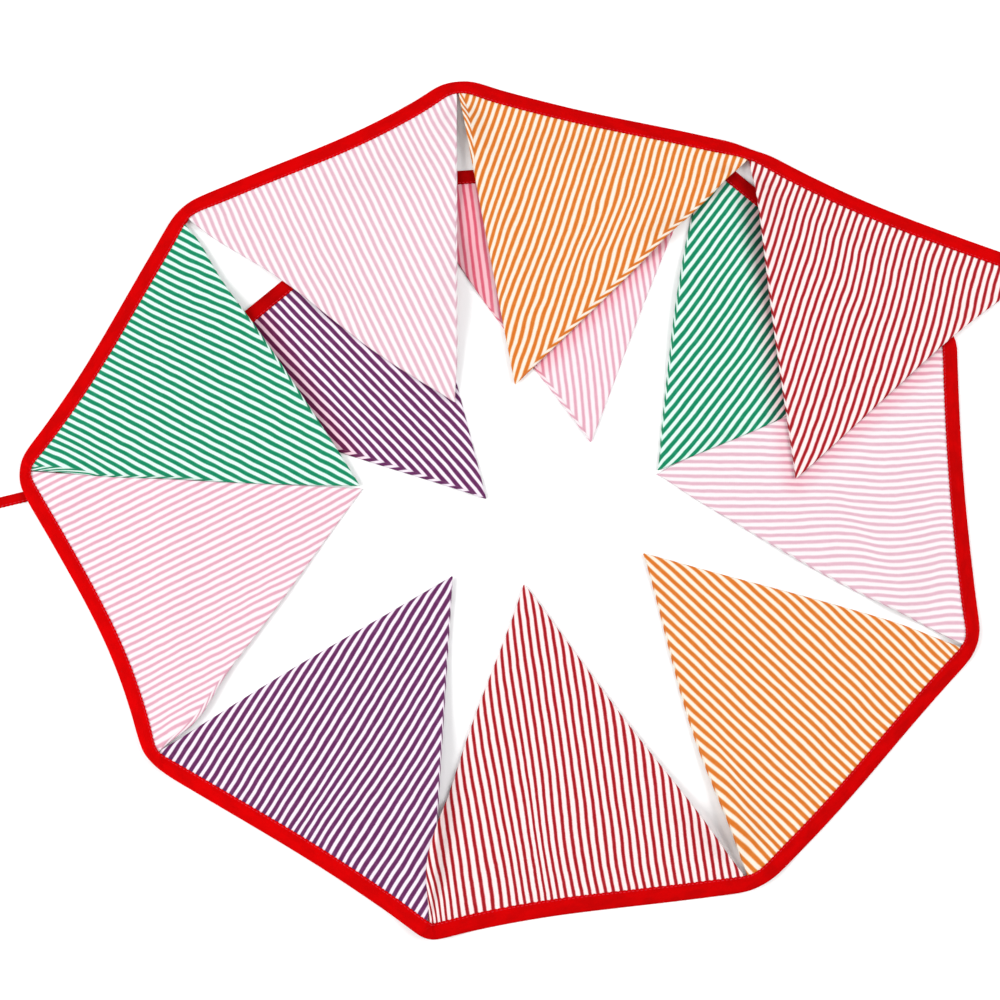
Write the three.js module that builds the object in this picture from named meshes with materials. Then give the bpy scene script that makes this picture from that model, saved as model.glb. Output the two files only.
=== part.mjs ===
// Striped cotton bunting, laid out in a loose ring.
//
// Twelve double-sided triangular flags hang from one folded bias tape, whose two ends run on as
// ties. The tape starts at the right, turns once round the ring anticlockwise and ends inside its
// own start, so the first five flags lie over the last four and over the second tie.
//
// Millimetres, +Z up. The origin is under the middle of the whole piece, on the surface it lies on.

import * as THREE from 'three';

// ---------------------------------------------------------------- driving dimensions
const CLOTH = 1; // a flag: two layers of cotton, sewn right sides out
const TAPE_WALL = 0.6; // one side of the folded tape
const PLAY = 0.35; // space between the tape and the flag inside its fold
const TAPE_WIDTH = 9.2; // the folded tape, from its fold to its stitched edge
const TAPE_HEIGHT = CLOTH + 2 * (TAPE_WALL + PLAY);
const TAPE_FOLD = 1.2; // cloth of the fold itself, in front of the slot
const EDGE_IN_FOLD = 2.2; // from the fold's outside to a flag's raw top edge
const MOUTH = TAPE_WIDTH + 1; // from the fold's outside to where a flag is free of the tape
const FLAG_GAP = 1.4; // between two neighbouring flags, along the tape
const TIE_WIDTH = 7.2; // the tape past the last flag, stitched shut
const TIE_HEIGHT = 1.6;
const TIE_GROOVE = { depth: 0.8, height: 0.4 }; // between the tie's two stitched edges
const TIE_TAPER = 18; // length over which the tape narrows to the tie

const START = { x: 296, y: 162 }; // first flag's outer top corner
const LAP_CLEAR = 1; // air between a flag and a flag beneath it
const EDGE_CLEAR = 2; // air between a flag and a tape beneath it
const LAP_RUN = 30; // length over which a flag comes down again beside what it lies on

// Travel is along the tape, with the flags on its left. A heading is the direction of travel in
// degrees; the tape's length is width for a flag, length for a tie. drop and lean place the tip,
// from the middle of the top edge; bow and sway are the top edge's bend, once and twice each way.
// bend is half the length of the turn at the flag's end, and buckle how far the tape rises there.
// The flag's two sides are called start and end: startOut and endOut are how far they swell beyond
// a straight line, and startUp and endUp how high they stand. tipUp is the tip's height, and
// ripple that of the cloth's waves.
const COLUMNS = ['colour', 'heading', 'width', 'drop', 'lean', 'bow', 'sway', 'bend', 'buckle',
  'startOut', 'endOut', 'startUp', 'endUp', 'tipUp', 'ripple'];
const ROWS = [
  ['red', 158.5, 200, 195, -7.5, 4.5, -0.5, 16, 2.0, -3, 0, 2.0, 3.0, 0.6, 1.2],
  ['orange', 168, 201, 193, 14.5, 2, -0.5, 20, 3.5, 0, 0, 4.0, 4.5, 1.0, 1.2],
  ['pale_pink', 209, 200, 197, -5, 4.5, 1.5, 14, 2.0, 0, -1.5, 3.5, 2.5, 0.8, 1.6],
  ['green', 243, 201, 194, 4.5, 3.5, -1, 16, 2.0, -1.5, 0, 2.5, 2.5, 1.5, 1.0],
  ['pink', 299, 202, 190, 6, 8, -1.5, 12, 3.0, 0, 4, 0.8, 4.5, 0.0, 1.6],
  ['purple', 331, 201, 193, -1, 2.5, -0.5, 9, 5.0, 2, 0, 1.2, 7.5, 1.5, 1.2],
  ['red', 370.5, 203, 202, -13, 3, 1, 16, 3.5, 10.5, -4.5, 2.5, 4.5, 0.5, 1.4],
  ['orange', 408, 201, 189.5, -2, -1.5, -1, 15, 2.0, 9, 0.5, 5.0, 2.0, 0.8, 1.2],
  ['pale_pink', 453.5, 201, 195.5, 11, 3, 0, 14, 0.0, 6, 0, 2.0, 0.5, 0.0, 2.4],
  ['green', 503.5, 200, 190.5, -4.5, 2.5, -1, 14, 0.0, 0, 5, 1.0, 3.0, 0.8, 1.0],
  ['pink', 547.5, 200, 188.5, -3.5, 1.5, 0, 14, 0.0, -2, 4, 1.0, 3.0, 0.6, 1.0],
  ['purple', 584.5, 200, 196, 3, 1.5, 0.5, 12, 0.0, -1, 6, 1.0, 2.5, 1.0, 1.0],
];
const LEADING_TIE = [
  { heading: 112, length: 150, bend: 40 },
  { heading: 138, length: 140, bend: 40 },
  { heading: 158.5, length: 110, bend: 16 },
];
const TRAILING_TIE = [
  { heading: 585, length: 118, bend: 12 },
  { heading: 553, length: 60, bend: 20 },
  { heading: 570, length: 110, bend: 40 },
  { heading: 598, length: 112, bend: 40 },
];
const UPPER_FLAGS = 5; // the first flags, which lie over the lower ones
const FIRST_LOWER = 8; // index of the first flag that lies under them

const COLUMNS_PER_FLAG = 14; // facets along a flag's top edge
const TIE_STATION = 20; // facet length along a tie
const PATH_STEP = 1;
const SIDE_RUN = 26; // how far in from a side its lift reaches
const SIDE_PEAK = 0.28; // where down a side the lift is greatest
const BUCKLE_RUN = 32;
const SETTLE_RUN = 22; // how far below the tape a flag reaches the surface
const RIPPLE_LENGTH = 78;
const LIES_FLAT = 0.25; // cloth that would stand less than this lies on the surface

const COLOURS = {
  red: 0xd98a8f, orange: 0xf0bb85, pale_pink: 0xf8e4e8, green: 0x83c3a4, pink: 0xf6cdd6,
  purple: 0xa58ab0, tape: 0xc90a10,
};

// ---------------------------------------------------------------- small helpers
const radians = (degrees) => degrees * Math.PI / 180;
const mix = (a, b, f) => a + (b - a) * f;
const clamp01 = (f) => Math.min(1, Math.max(0, f));
const ease = (f) => clamp01(f) ** 2 * (3 - 2 * clamp01(f));

const flags = ROWS.map((row, index) => {
  const flag = Object.fromEntries(COLUMNS.map((column, i) => [column, row[i]]));
  flag.name = `flag_${String(index + 1).padStart(2, '0')}_${flag.colour}`;
  flag.length = flag.width;
  flag.index = index;
  return flag;
});

// ---------------------------------------------------------------- the tape's path in plan
const legs = [...LEADING_TIE, ...flags, ...TRAILING_TIE];
const joints = [0];
for (const leg of legs) joints.push(joints.at(-1) + leg.length);
const FLAGS_FROM = joints[LEADING_TIE.length];
const FLAGS_TO = joints[LEADING_TIE.length + flags.length];
const TAPE_LENGTH = joints.at(-1);
flags.forEach((flag, i) => { flag.from = joints[LEADING_TIE.length + i]; });

function headingAt(s) {
  const i = Math.max(0, joints.findLastIndex((joint, n) => joint <= s && n < legs.length));
  const leg = legs[i];
  const u = (s - joints[i]) / leg.length;
  let heading = radians(leg.heading);
  let straight = 1;
  for (const j of [i, i + 1]) {
    if (j === 0 || j === legs.length) continue;
    const bend = legs[j - 1].bend;
    const off = s - joints[j];
    straight *= ease(Math.abs(off) / bend);
    if (Math.abs(off) < bend) {
      const turn = ease((off + bend) / (2 * bend));
      heading = mix(radians(legs[j - 1].heading), radians(legs[j].heading), turn);
    }
  }
  const bow = (leg.bow ?? 0) * Math.PI / leg.length * Math.cos(Math.PI * u);
  const sway = (leg.sway ?? 0) * 2 * Math.PI / leg.length * Math.cos(2 * Math.PI * u);
  return heading + (bow + sway) * straight;
}

function tracePath() {
  const points = [{ x: 0, y: 0 }];
  for (let s = PATH_STEP / 2; s < TAPE_LENGTH; s += PATH_STEP) {
    const last = points.at(-1);
    const heading = headingAt(s);
    points.push({
      x: last.x + PATH_STEP * Math.cos(heading),
      y: last.y + PATH_STEP * Math.sin(heading),
    });
  }
  const first = points[Math.round(FLAGS_FROM / PATH_STEP)];
  return points.map((p) => ({ x: p.x - first.x + START.x, y: p.y - first.y + START.y }));
}
const path = tracePath();

// A point of the path at s, moved inward, towards the flags' side.
function tapeAt(s, inward = 0) {
  const f = Math.min(s / PATH_STEP, path.length - 1.001);
  const i = Math.floor(f);
  const heading = headingAt(Math.min(s, TAPE_LENGTH - PATH_STEP));
  return {
    x: mix(path[i].x, path[i + 1].x, f - i) - inward * Math.sin(heading),
    y: mix(path[i].y, path[i + 1].y, f - i) + inward * Math.cos(heading),
  };
}

for (const flag of flags) {
  const a = tapeAt(flag.from);
  const b = tapeAt(flag.from + flag.width);
  const along = new THREE.Vector2(b.x - a.x, b.y - a.y);
  const half = along.length() / 2 + flag.lean;
  along.normalize();
  flag.tipPoint = {
    x: a.x + half * along.x - flag.drop * along.y,
    y: a.y + half * along.y + flag.drop * along.x,
  };
  flag.along = along;
  flag.outline = [a, b, flag.tipPoint];
}

// ---------------------------------------------------------------- what the upper flags lie on
function segmentDistance(p, a, b) {
  const dx = b.x - a.x;
  const dy = b.y - a.y;
  const f = clamp01(((p.x - a.x) * dx + (p.y - a.y) * dy) / (dx * dx + dy * dy));
  return Math.hypot(p.x - a.x - f * dx, p.y - a.y - f * dy);
}

function outlineDistance(p, outline) {
  let inside = true;
  let distance = Infinity;
  outline.forEach((a, i) => {
    const b = outline[(i + 1) % outline.length];
    if ((b.x - a.x) * (p.y - a.y) - (b.y - a.y) * (p.x - a.x) < 0) inside = false;
    distance = Math.min(distance, segmentDistance(p, a, b));
  });
  return inside ? 0 : distance;
}

function tapeDistance(p, from, to, width) {
  let distance = Infinity;
  const centres = [];
  for (let s = from; s < to; s += 8) centres.push(tapeAt(s, width / 2));
  centres.push(tapeAt(to, width / 2));
  for (let i = 1; i < centres.length; i += 1) {
    distance = Math.min(distance, segmentDistance(p, centres[i - 1], centres[i]));
  }
  return Math.max(0, distance - width / 2);
}

const lowerFlags = flags.slice(FIRST_LOWER);
const upperFlags = flags.slice(0, UPPER_FLAGS);
const lowerTape = [lowerFlags[0].from + 0.5 * lowerFlags[0].width, FLAGS_TO];

function heightBeneath(p) {
  let height = 0;
  const over = (top, distance) => {
    height = Math.max(height, top * ease(1 - distance / LAP_RUN));
  };
  for (const flag of lowerFlags) over(CLOTH + LAP_CLEAR, outlineDistance(p, flag.outline));
  over(TAPE_HEIGHT + EDGE_CLEAR, tapeDistance(p, ...lowerTape, TAPE_WIDTH));
  over(TIE_HEIGHT + EDGE_CLEAR, tapeDistance(p, FLAGS_TO, TAPE_LENGTH, TIE_WIDTH));
  return height;
}

// 1 in the open, 0 where an upper flag lies on top.
function openness(p) {
  const near = Math.min(...upperFlags.map((flag) => outlineDistance(p, flag.outline)));
  return ease(near / LAP_RUN);
}

// ---------------------------------------------------------------- heights
const UPPER_TO = flags[UPPER_FLAGS].from;
const PROBES = [0, TAPE_WIDTH / 2, TAPE_WIDTH];

// How high the tape's underside is above the surface.
function tapeLift(s) {
  let lift = 0;
  if (s < UPPER_TO) {
    for (const inward of PROBES) lift = Math.max(lift, heightBeneath(tapeAt(s, inward)));
  }
  for (const flag of flags) {
    const off = Math.abs(s - flag.from - flag.width) / BUCKLE_RUN;
    lift += flag.buckle * ease(1 - off);
  }
  return lift;
}

const foldHeight = (s) => tapeLift(s) + TAPE_WALL + PLAY;

// Rises from a corner, peaks a third of the way down a side and fades towards the tip.
const sideShape = (t) => t / SIDE_PEAK * Math.exp(1 - t / SIDE_PEAK);

// a runs along the top edge from 0 to 1, and t down to the tip from 0 to 1.
function relief(flag, a, t, p) {
  const across = (1 - t) * flag.width;
  const side = (distance) => Math.exp(-((distance / SIDE_RUN) ** 2)) * sideShape(t);
  const sides = flag.startUp * side(a * across) + flag.endUp * side((1 - a) * across);
  const tip = flag.tipUp * ease((t - 0.75) / 0.25);
  const turn = radians(flag.heading + 62);
  const phase = (p.x * Math.cos(turn) + p.y * Math.sin(turn)) / RIPPLE_LENGTH + 0.37 * flag.index;
  const ripple = flag.ripple * Math.max(0, Math.sin(2 * Math.PI * phase)) * (1 - t);
  const height = Math.max(0, sides + tip + ripple * ease(t / 0.2) - LIES_FLAT);
  return flag.index < FIRST_LOWER ? height : height * openness(p);
}

// How a side swells between the corner and the tip.
const swell = (t) => Math.sin(Math.PI * t ** 0.8) ** 1.5;

// A point of a flag's underside, below the slot's mouth at s.
function flagPoint(flag, s, a, t) {
  const top = tapeAt(s, MOUTH);
  const out = (flag.endOut * a ** 2 - flag.startOut * (1 - a) ** 2) * swell(clamp01(t));
  const p = {
    x: mix(top.x, flag.tipPoint.x, t) + out * flag.along.x,
    y: mix(top.y, flag.tipPoint.y, t) + out * flag.along.y,
  };
  const beneath = flag.index < UPPER_FLAGS ? heightBeneath(p) : 0;
  const free = beneath + relief(flag, a, t, p);
  const settled = ease(t * (flag.drop - MOUTH) / SETTLE_RUN);
  p.z = Math.max(mix(foldHeight(s), free, settled), beneath);
  return p;
}

// ---------------------------------------------------------------- solids
function geometry(positions, indices) {
  const body = new THREE.BufferGeometry();
  body.setAttribute('position', new THREE.Float32BufferAttribute(positions, 3));
  body.setIndex(indices);
  body.computeVertexNormals();
  return body;
}

// A flag's share of the tape, with its facets closer together near its corners.
const stations = (flag) => Array.from({ length: COLUMNS_PER_FLAG + 1 }, (_, i) => {
  const even = i / COLUMNS_PER_FLAG;
  const drawnOut = 0.5 - 0.5 * Math.cos(Math.PI * even);
  return mix(FLAG_GAP / 2, flag.width - FLAG_GAP / 2, mix(even, drawnOut, 0.5)) + flag.from;
});

// Rows of points from the top edge to the tip. The first two have the tape's own stations, so
// that the cloth runs straight through the slot; each further row has one point fewer.
function flagRows(flag) {
  const tops = stations(flag);
  const sAt = (a) => {
    const f = Math.min(a * COLUMNS_PER_FLAG, COLUMNS_PER_FLAG - 1e-9);
    const i = Math.floor(f);
    return mix(tops[i], tops[i + 1], f - i);
  };
  const rows = [tops.map((s) => ({ ...tapeAt(s, EDGE_IN_FOLD), z: foldHeight(s) }))];
  for (let cells = COLUMNS_PER_FLAG; cells >= 0; cells -= 1) {
    const t = 1 - cells / COLUMNS_PER_FLAG;
    rows.push(Array.from({ length: cells + 1 }, (_, i) => {
      const a = cells ? i / cells : 0.5;
      return flagPoint(flag, sAt(a), a, t);
    }));
  }
  return rows;
}

// A sheet of cloth: its underside in rows, a top CLOTH higher, and a wall round the edge.
function sheet(rows) {
  const under = [];
  const first = rows.map((row) => {
    const index = under.length;
    under.push(...row);
    return index;
  });
  const count = under.length;
  const positions = [...under, ...under.map((p) => ({ ...p, z: p.z + CLOTH }))];
  const indices = [];
  const facet = (a, b, c) => {
    indices.push(a, c, b, a + count, b + count, c + count);
  };
  for (let r = 1; r < rows.length; r += 1) {
    const shorter = rows[r].length < rows[r - 1].length;
    for (let i = 1; i < rows[r - 1].length; i += 1) {
      const upper = first[r - 1] + i;
      const lower = first[r] + i;
      if (shorter) {
        facet(upper - 1, upper, lower - 1);
        if (i < rows[r].length) facet(upper, lower, lower - 1);
      } else {
        facet(upper - 1, upper, lower);
        facet(upper - 1, lower, lower - 1);
      }
    }
  }
  const rim = [
    ...rows[0].map((_, i) => i),
    ...rows.slice(1).map((row, r) => first[r + 1] + row.length - 1),
    ...rows.slice(1, -1).map((_, r) => first[r + 1]).reverse(),
  ];
  rim.forEach((a, i) => {
    const b = rim[(i + 1) % rim.length];
    indices.push(a, b, b + count, a, b + count, a + count);
  });
  return geometry(positions.flatMap((p) => [p.x, p.y, p.z]), indices);
}

// The folded tape's section, inward and up from the outside of its underside. The slot is open
// towards the flags, and closes to a groove along the ties.
function tapeSection(s) {
  const past = Math.max(FLAGS_FROM - s, s - FLAGS_TO, 0);
  const tie = ease(past / TIE_TAPER);
  const width = mix(TAPE_WIDTH, TIE_WIDTH, tie);
  const height = mix(TAPE_HEIGHT, TIE_HEIGHT, tie);
  const slotFrom = width - mix(TAPE_WIDTH - TAPE_FOLD, TIE_GROOVE.depth, tie);
  const slotHeight = mix(CLOTH + 2 * PLAY, TIE_GROOVE.height, tie);
  const round = 0.3 * height;
  const low = (height - slotHeight) / 2;
  return [
    [width, 0], [width, low], [slotFrom, low], [slotFrom, height - low], [width, height - low],
    [width, height], [round, height], [0, height - round], [0, round], [round, 0],
  ];
}

const SLOT_FLOOR = 1; // the section's edge from the lower lip to the end of the slot

function tapeStations() {
  const along = flags.flatMap(stations);
  const run = (from, to) => {
    const count = Math.round((to - from) / TIE_STATION);
    return Array.from({ length: count + 1 }, (_, i) => mix(from, to, i / count));
  };
  const taper = (from) => [0, 1 / 3, 2 / 3, 1].map((f) => from + f * TIE_TAPER);
  return [
    ...run(0, FLAGS_FROM - TIE_TAPER), ...taper(FLAGS_FROM - TIE_TAPER).slice(1),
    ...along,
    ...taper(FLAGS_TO), ...run(FLAGS_TO + TIE_TAPER, TAPE_LENGTH).slice(1),
  ];
}

function tape() {
  const rings = tapeStations().map((s) => {
    const lift = tapeLift(s);
    return tapeSection(s).map(([inward, up]) => ({ ...tapeAt(s, inward), z: lift + up }));
  });
  const around = rings[0].length;
  const indices = [];
  for (let r = 1; r < rings.length; r += 1) {
    for (let i = 0; i < around; i += 1) {
      const next = (i + 1) % around;
      const [a, b] = [(r - 1) * around + i, (r - 1) * around + next];
      const [c, d] = [r * around + i, r * around + next];
      // The slot's floor is split along the same diagonals as the cloth that lies on it.
      if (i === SLOT_FLOOR) indices.push(a, b, c, b, d, c);
      else indices.push(a, b, d, a, d, c);
    }
  }
  const contour = tapeSection(0).map(([inward, up]) => new THREE.Vector2(inward, up));
  const last = (rings.length - 1) * around;
  for (const [i, j, k] of THREE.ShapeUtils.triangulateShape(contour, [])) {
    indices.push(i, k, j, last + i, last + j, last + k);
  }
  return geometry(rings.flat().flatMap((p) => [p.x, p.y, p.z]), indices);
}

// ---------------------------------------------------------------- the piece
function cotton(colour, roughness) {
  return new THREE.MeshStandardMaterial({ color: COLOURS[colour], roughness, metalness: 0 });
}

function named(name, body, material) {
  const mesh = new THREE.Mesh(body, material);
  mesh.name = name;
  return mesh;
}

const group = new THREE.Group();
group.add(named('binding_tape', tape(), cotton('tape', 0.75)));
for (const flag of flags) {
  group.add(named(flag.name, sheet(flagRows(flag)), cotton(flag.colour, 0.9)));
}

export default group;
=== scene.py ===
# %% [markdown]
# # A striped cotton bunting, laid out in a ring
#
# Twelve double flags hang from one folded red tape that runs on as two ties. The frame that is
# loaded first holds a plain solid for each of them, at its real size and in its place. Each cell
# below makes one piece or one finish in fine cloth, on the same folds as its solid. The work is
# done in millimetres in the flags' own terms, and turned to metres only when a mesh is made.

import math

import bpy
import numpy as np
from mathutils import Matrix, Vector


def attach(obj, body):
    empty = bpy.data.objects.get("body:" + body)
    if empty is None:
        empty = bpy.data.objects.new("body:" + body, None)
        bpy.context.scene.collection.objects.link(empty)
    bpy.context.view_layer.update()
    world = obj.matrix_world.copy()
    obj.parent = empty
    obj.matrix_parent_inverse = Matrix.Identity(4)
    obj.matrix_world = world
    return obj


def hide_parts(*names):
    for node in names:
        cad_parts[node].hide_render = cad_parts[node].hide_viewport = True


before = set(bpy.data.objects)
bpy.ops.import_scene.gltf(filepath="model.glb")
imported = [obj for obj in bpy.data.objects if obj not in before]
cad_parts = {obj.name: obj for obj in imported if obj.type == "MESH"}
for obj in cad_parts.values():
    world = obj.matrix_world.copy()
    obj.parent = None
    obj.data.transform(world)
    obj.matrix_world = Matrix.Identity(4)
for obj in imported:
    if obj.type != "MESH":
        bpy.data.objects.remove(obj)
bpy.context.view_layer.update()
MM = 0.001
print("solids:", len(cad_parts))

# %% [markdown]
# ## Camera
#
# The bunting lies flat, so it is seen from above, from 0.88 m, with the camera tilted and rolled a
# little. A 51 mm lens on a 36 mm sensor gives the mild perspective of a product shot. A camera
# could be aimed by a Track To constraint, but a matrix of place, tilt and roll keeps the three
# numbers apart.

# %% Camera
CAMERA_PLACE = (-0.0473, -0.1567, 0.8807)
CAMERA_TILT = math.radians(9.68)
CAMERA_ROLL = math.radians(2.2)
SENSOR_WIDTH = 36.0
LENS = 50.9
NEAREST_SEEN = 0.01


def make_camera():
    data = bpy.data.cameras.new("overhead_camera")
    data.sensor_width = SENSOR_WIDTH
    data.lens = LENS
    data.clip_start = NEAREST_SEEN
    camera = bpy.data.objects.new("overhead_camera", data)
    tilt = Matrix.Rotation(CAMERA_TILT, 4, "X")
    roll = Matrix.Rotation(CAMERA_ROLL, 4, "Z")
    camera.matrix_world = Matrix.Translation(CAMERA_PLACE) @ tilt @ roll
    bpy.context.scene.collection.objects.link(camera)
    bpy.context.scene.camera = camera
    return camera


make_camera()
print("camera", LENS, "mm, tilted", round(math.degrees(CAMERA_TILT), 1), "degrees")

# %% [markdown]
# ## Sizes of the bunting
#
# These are the driving sizes of the solids, so the cloth lies where they lie. A row holds one
# flag: its heading is the direction in which the tape runs, its drop and lean place the tip, bow
# and sway bend its top edge, bend is how far on each side of its end corner the tape takes to
# turn, and buckle is how high that corner stands up. Then come the swell of its two sides, how
# high they stand, the height of the tip and of the cloth's ripple. The cloth itself is thinner
# than its solid, and closer to what it lies on, and the second tie lies a few millimetres aside.
# The driving sizes could be read back from the solids' meshes, but written out as rows they can be
# changed by hand. They were not all chosen by hand: a separate least-squares program made the
# headings, widths, drops, leans, bows and sways, and they were rounded.

# %% Sizes
FLAG_THICKNESS = 0.8
TAPE_WALL = 0.5
TAPE_PLAY = 0.1  # between the tape's inner side and the flag
TAPE_WIDTH = 9.2
TAPE_HEIGHT = FLAG_THICKNESS + 2 * (TAPE_WALL + TAPE_PLAY)
EDGE_IN_FOLD = 2.2  # from the tape's outer fold to a flag's raw edge
MOUTH = TAPE_WIDTH + 1  # where the cloth comes out of the fold
FLAG_GAP = 1.4  # between two flags along the tape
TIE_WIDTH = 6.4
TIE_HEIGHT = 1.3
TIE_TAPER = 18  # how far past the last flag the tape narrows to a tie
FIRST_CORNER = (296, 162)  # where the first flag starts, in plan
LAP_CLEAR = 0.25  # between two flags that overlap
EDGE_CLEAR = 0.5  # between a flag and the tape that it lies on
LAP_RUN = 30  # how far beside an edge the cloth above comes down

COLUMNS = (
    "colour", "heading", "width", "drop", "lean", "bow", "sway", "bend", "buckle",
    "start_out", "end_out", "start_up", "end_up", "tip_up", "ripple",
)
ROWS = (
    ("red", 158.5, 200, 195, -7.5, 4.5, -0.5, 16, 2.0, -3, 0, 2.0, 3.0, 0.6, 1.2),
    ("orange", 168, 201, 193, 14.5, 2, -0.5, 20, 3.5, 0, 0, 4.0, 4.5, 1.0, 1.2),
    ("pale_pink", 209, 200, 197, -5, 4.5, 1.5, 14, 2.0, 0, -1.5, 3.5, 2.5, 0.8, 1.6),
    ("green", 243, 201, 194, 4.5, 3.5, -1, 16, 2.0, -1.5, 0, 2.5, 2.5, 1.5, 1.0),
    ("pink", 299, 202, 190, 6, 8, -1.5, 12, 3.0, 0, 4, 0.8, 4.5, 0.0, 1.6),
    ("purple", 331, 201, 193, -1, 2.5, -0.5, 9, 5.0, 2, 0, 1.2, 7.5, 1.5, 1.2),
    ("red", 370.5, 203, 202, -13, 3, 1, 16, 3.5, 10.5, -4.5, 2.5, 4.5, 0.5, 1.4),
    ("orange", 408, 201, 189.5, -2, -1.5, -1, 15, 2.0, 9, 0.5, 5.0, 2.0, 0.8, 1.2),
    ("pale_pink", 453.5, 201, 195.5, 11, 3, 0, 14, 0.0, 6, 0, 2.0, 0.5, 0.0, 2.4),
    ("green", 503.5, 200, 190.5, -4.5, 2.5, -1, 14, 0.0, 0, 5, 1.0, 3.0, 0.8, 1.0),
    ("pink", 547.5, 200, 188.5, -3.5, 1.5, 0, 14, 0.0, -2, 4, 1.0, 3.0, 0.6, 1.0),
    ("purple", 584.5, 200, 196, 3, 1.5, 0.5, 12, 0.0, -1, 6, 1.0, 2.5, 1.0, 1.0),
)
# a tie's stretches: (heading, length, bend)
LEADING_TIE = ((112, 150, 40), (138, 140, 40), (158.5, 110, 16))
TRAILING_TIE = ((585, 109.5, 12), (556, 80, 12), (572, 98.5, 36), (598, 112, 40))
UPPER_FLAGS = 5  # the first five flags lie on top
FIRST_LOWER = 8  # and those from this index on lie beneath


def numbered(index):
    return f"{index + 1:02d}_{ROWS[index][0]}"


def tie_leg(heading, length, bend):
    return {"heading": heading, "length": length, "bend": bend, "bow": 0, "sway": 0}


flags = [dict(zip(COLUMNS, row), index=i, length=row[2]) for i, row in enumerate(ROWS)]
legs = [tie_leg(*row) for row in LEADING_TIE] + flags + [tie_leg(*row) for row in TRAILING_TIE]
joints = np.cumsum([0.0] + [leg["length"] for leg in legs])
for flag, start in zip(flags, joints[len(LEADING_TIE):]):
    flag["number"] = flag["index"] + 1
    flag["from"] = start
    flag["to"] = start + flag["width"]
FLAGS_FROM = flags[0]["from"]
FLAGS_TO = flags[-1]["to"]
TAPE_LENGTH = joints[-1]
print("tape", TAPE_LENGTH, "mm, flags from", FLAGS_FROM, "to", FLAGS_TO)

# %% [markdown]
# ## The tape's path
#
# The tape runs nearly straight along each flag and turns at the flags' corners. A curve object
# could be drawn through the corners, but cloth does not stretch when it is laid round a bend, so
# its heading is worked out first, millimetre by millimetre, and added up to a path. That keeps
# the tape's length true, and gives every other function the same path to ask.


# %% The tape's path
def ease(f):
    """From 0 to 1 with a soft start and a soft end."""
    f = np.clip(f, 0.0, 1.0)
    return f * f * (3 - 2 * f)


def mix(a, b, f):
    return a + (b - a) * f


def column(name):
    return np.array([leg[name] for leg in legs], dtype=float)


leg_heading = np.radians(column("heading"))
leg_length = column("length")
leg_bend = column("bend")
leg_bow = column("bow") * np.pi / leg_length
leg_sway = column("sway") * 2 * np.pi / leg_length


def heading_at(s):
    """The tape's direction at s, in radians: legs of its own bow and sway, joined by turns."""
    leg = np.clip(np.searchsorted(joints, s, side="right") - 1, 0, len(legs) - 1)
    u = (s - joints[leg]) / leg_length[leg]
    heading = leg_heading[leg]
    straight = np.ones_like(heading)
    for joint in (leg, leg + 1):
        inner = (joint > 0) & (joint < len(legs))
        near = np.clip(joint, 1, len(legs) - 1)
        bend = leg_bend[near - 1]
        off = s - joints[near]
        straight = np.where(inner, straight * ease(np.abs(off) / bend), straight)
        turned = mix(leg_heading[near - 1], leg_heading[near], ease((off + bend) / (2 * bend)))
        heading = np.where(inner & (np.abs(off) < bend), turned, heading)
    bends = leg_bow[leg] * np.cos(np.pi * u) + leg_sway[leg] * np.cos(2 * np.pi * u)
    return heading + bends * straight


steps = np.arange(TAPE_LENGTH + 1)
step_heading = heading_at(steps[:-1] + 0.5)
path_x = np.concatenate([[0], np.cumsum(np.cos(step_heading))])
path_y = np.concatenate([[0], np.cumsum(np.sin(step_heading))])
path_x += FIRST_CORNER[0] - path_x[int(FLAGS_FROM)]
path_y += FIRST_CORNER[1] - path_y[int(FLAGS_FROM)]


def tape_at(s, inward=0.0):
    """Plan points of the tape at s along it, moved inward, towards the flags."""
    s = np.asarray(s, dtype=float)
    heading = heading_at(np.minimum(s, TAPE_LENGTH - 1))
    x = np.interp(s, steps, path_x) - inward * np.sin(heading)
    y = np.interp(s, steps, path_y) + inward * np.cos(heading)
    return np.stack([x, y], axis=-1)


for flag in flags:
    start, end = tape_at(flag["from"]), tape_at(flag["to"])
    chord = np.linalg.norm(end - start)
    flag["along"] = (end - start) / chord
    flag["inward"] = np.array([-flag["along"][1], flag["along"][0]])
    flag["middle"] = (start + end) / 2
    half = chord / 2 + flag["lean"]
    flag["tip"] = start + half * flag["along"] + flag["drop"] * flag["inward"]
    flag["outline"] = (start, end, flag["tip"])
print("ring", np.ptp(path_x).round(), "by", np.ptp(path_y).round(), "mm")

# %% [markdown]
# ## What the first flags lie on
#
# The ring closes over itself: the first five flags lie on the last four, on their tape and on
# the second tie. The height of that bedding eases down beside each edge, as cloth bridges a
# step. A cloth simulation would find such a bed too, but would not lie still where it has to, so
# the bedding is worked out from distances in plan, and every point of cloth can ask for it.

# %% What the first flags lie on
LOWER_TAPE_FROM = flags[FIRST_LOWER]["from"] + flags[FIRST_LOWER]["width"] / 2
BUCKLE_RUN = 32  # how far along the tape a corner stands up


def segment_distance(p, a, b):
    ab = b - a
    f = np.clip(((p - a) @ ab) / (ab @ ab), 0, 1)
    return np.linalg.norm(p - a - f[..., None] * ab, axis=-1)


def outline_distance(p, outline):
    """How far outside an outline each point lies, 0 inside."""
    inside = np.ones(p.shape[:-1], dtype=bool)
    distance = np.full(p.shape[:-1], np.inf)
    for i, a in enumerate(outline):
        b = outline[(i + 1) % len(outline)]
        inside &= (b[0] - a[0]) * (p[..., 1] - a[1]) >= (b[1] - a[1]) * (p[..., 0] - a[0])
        distance = np.minimum(distance, segment_distance(p, a, b))
    return np.where(inside, 0.0, distance)


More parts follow.
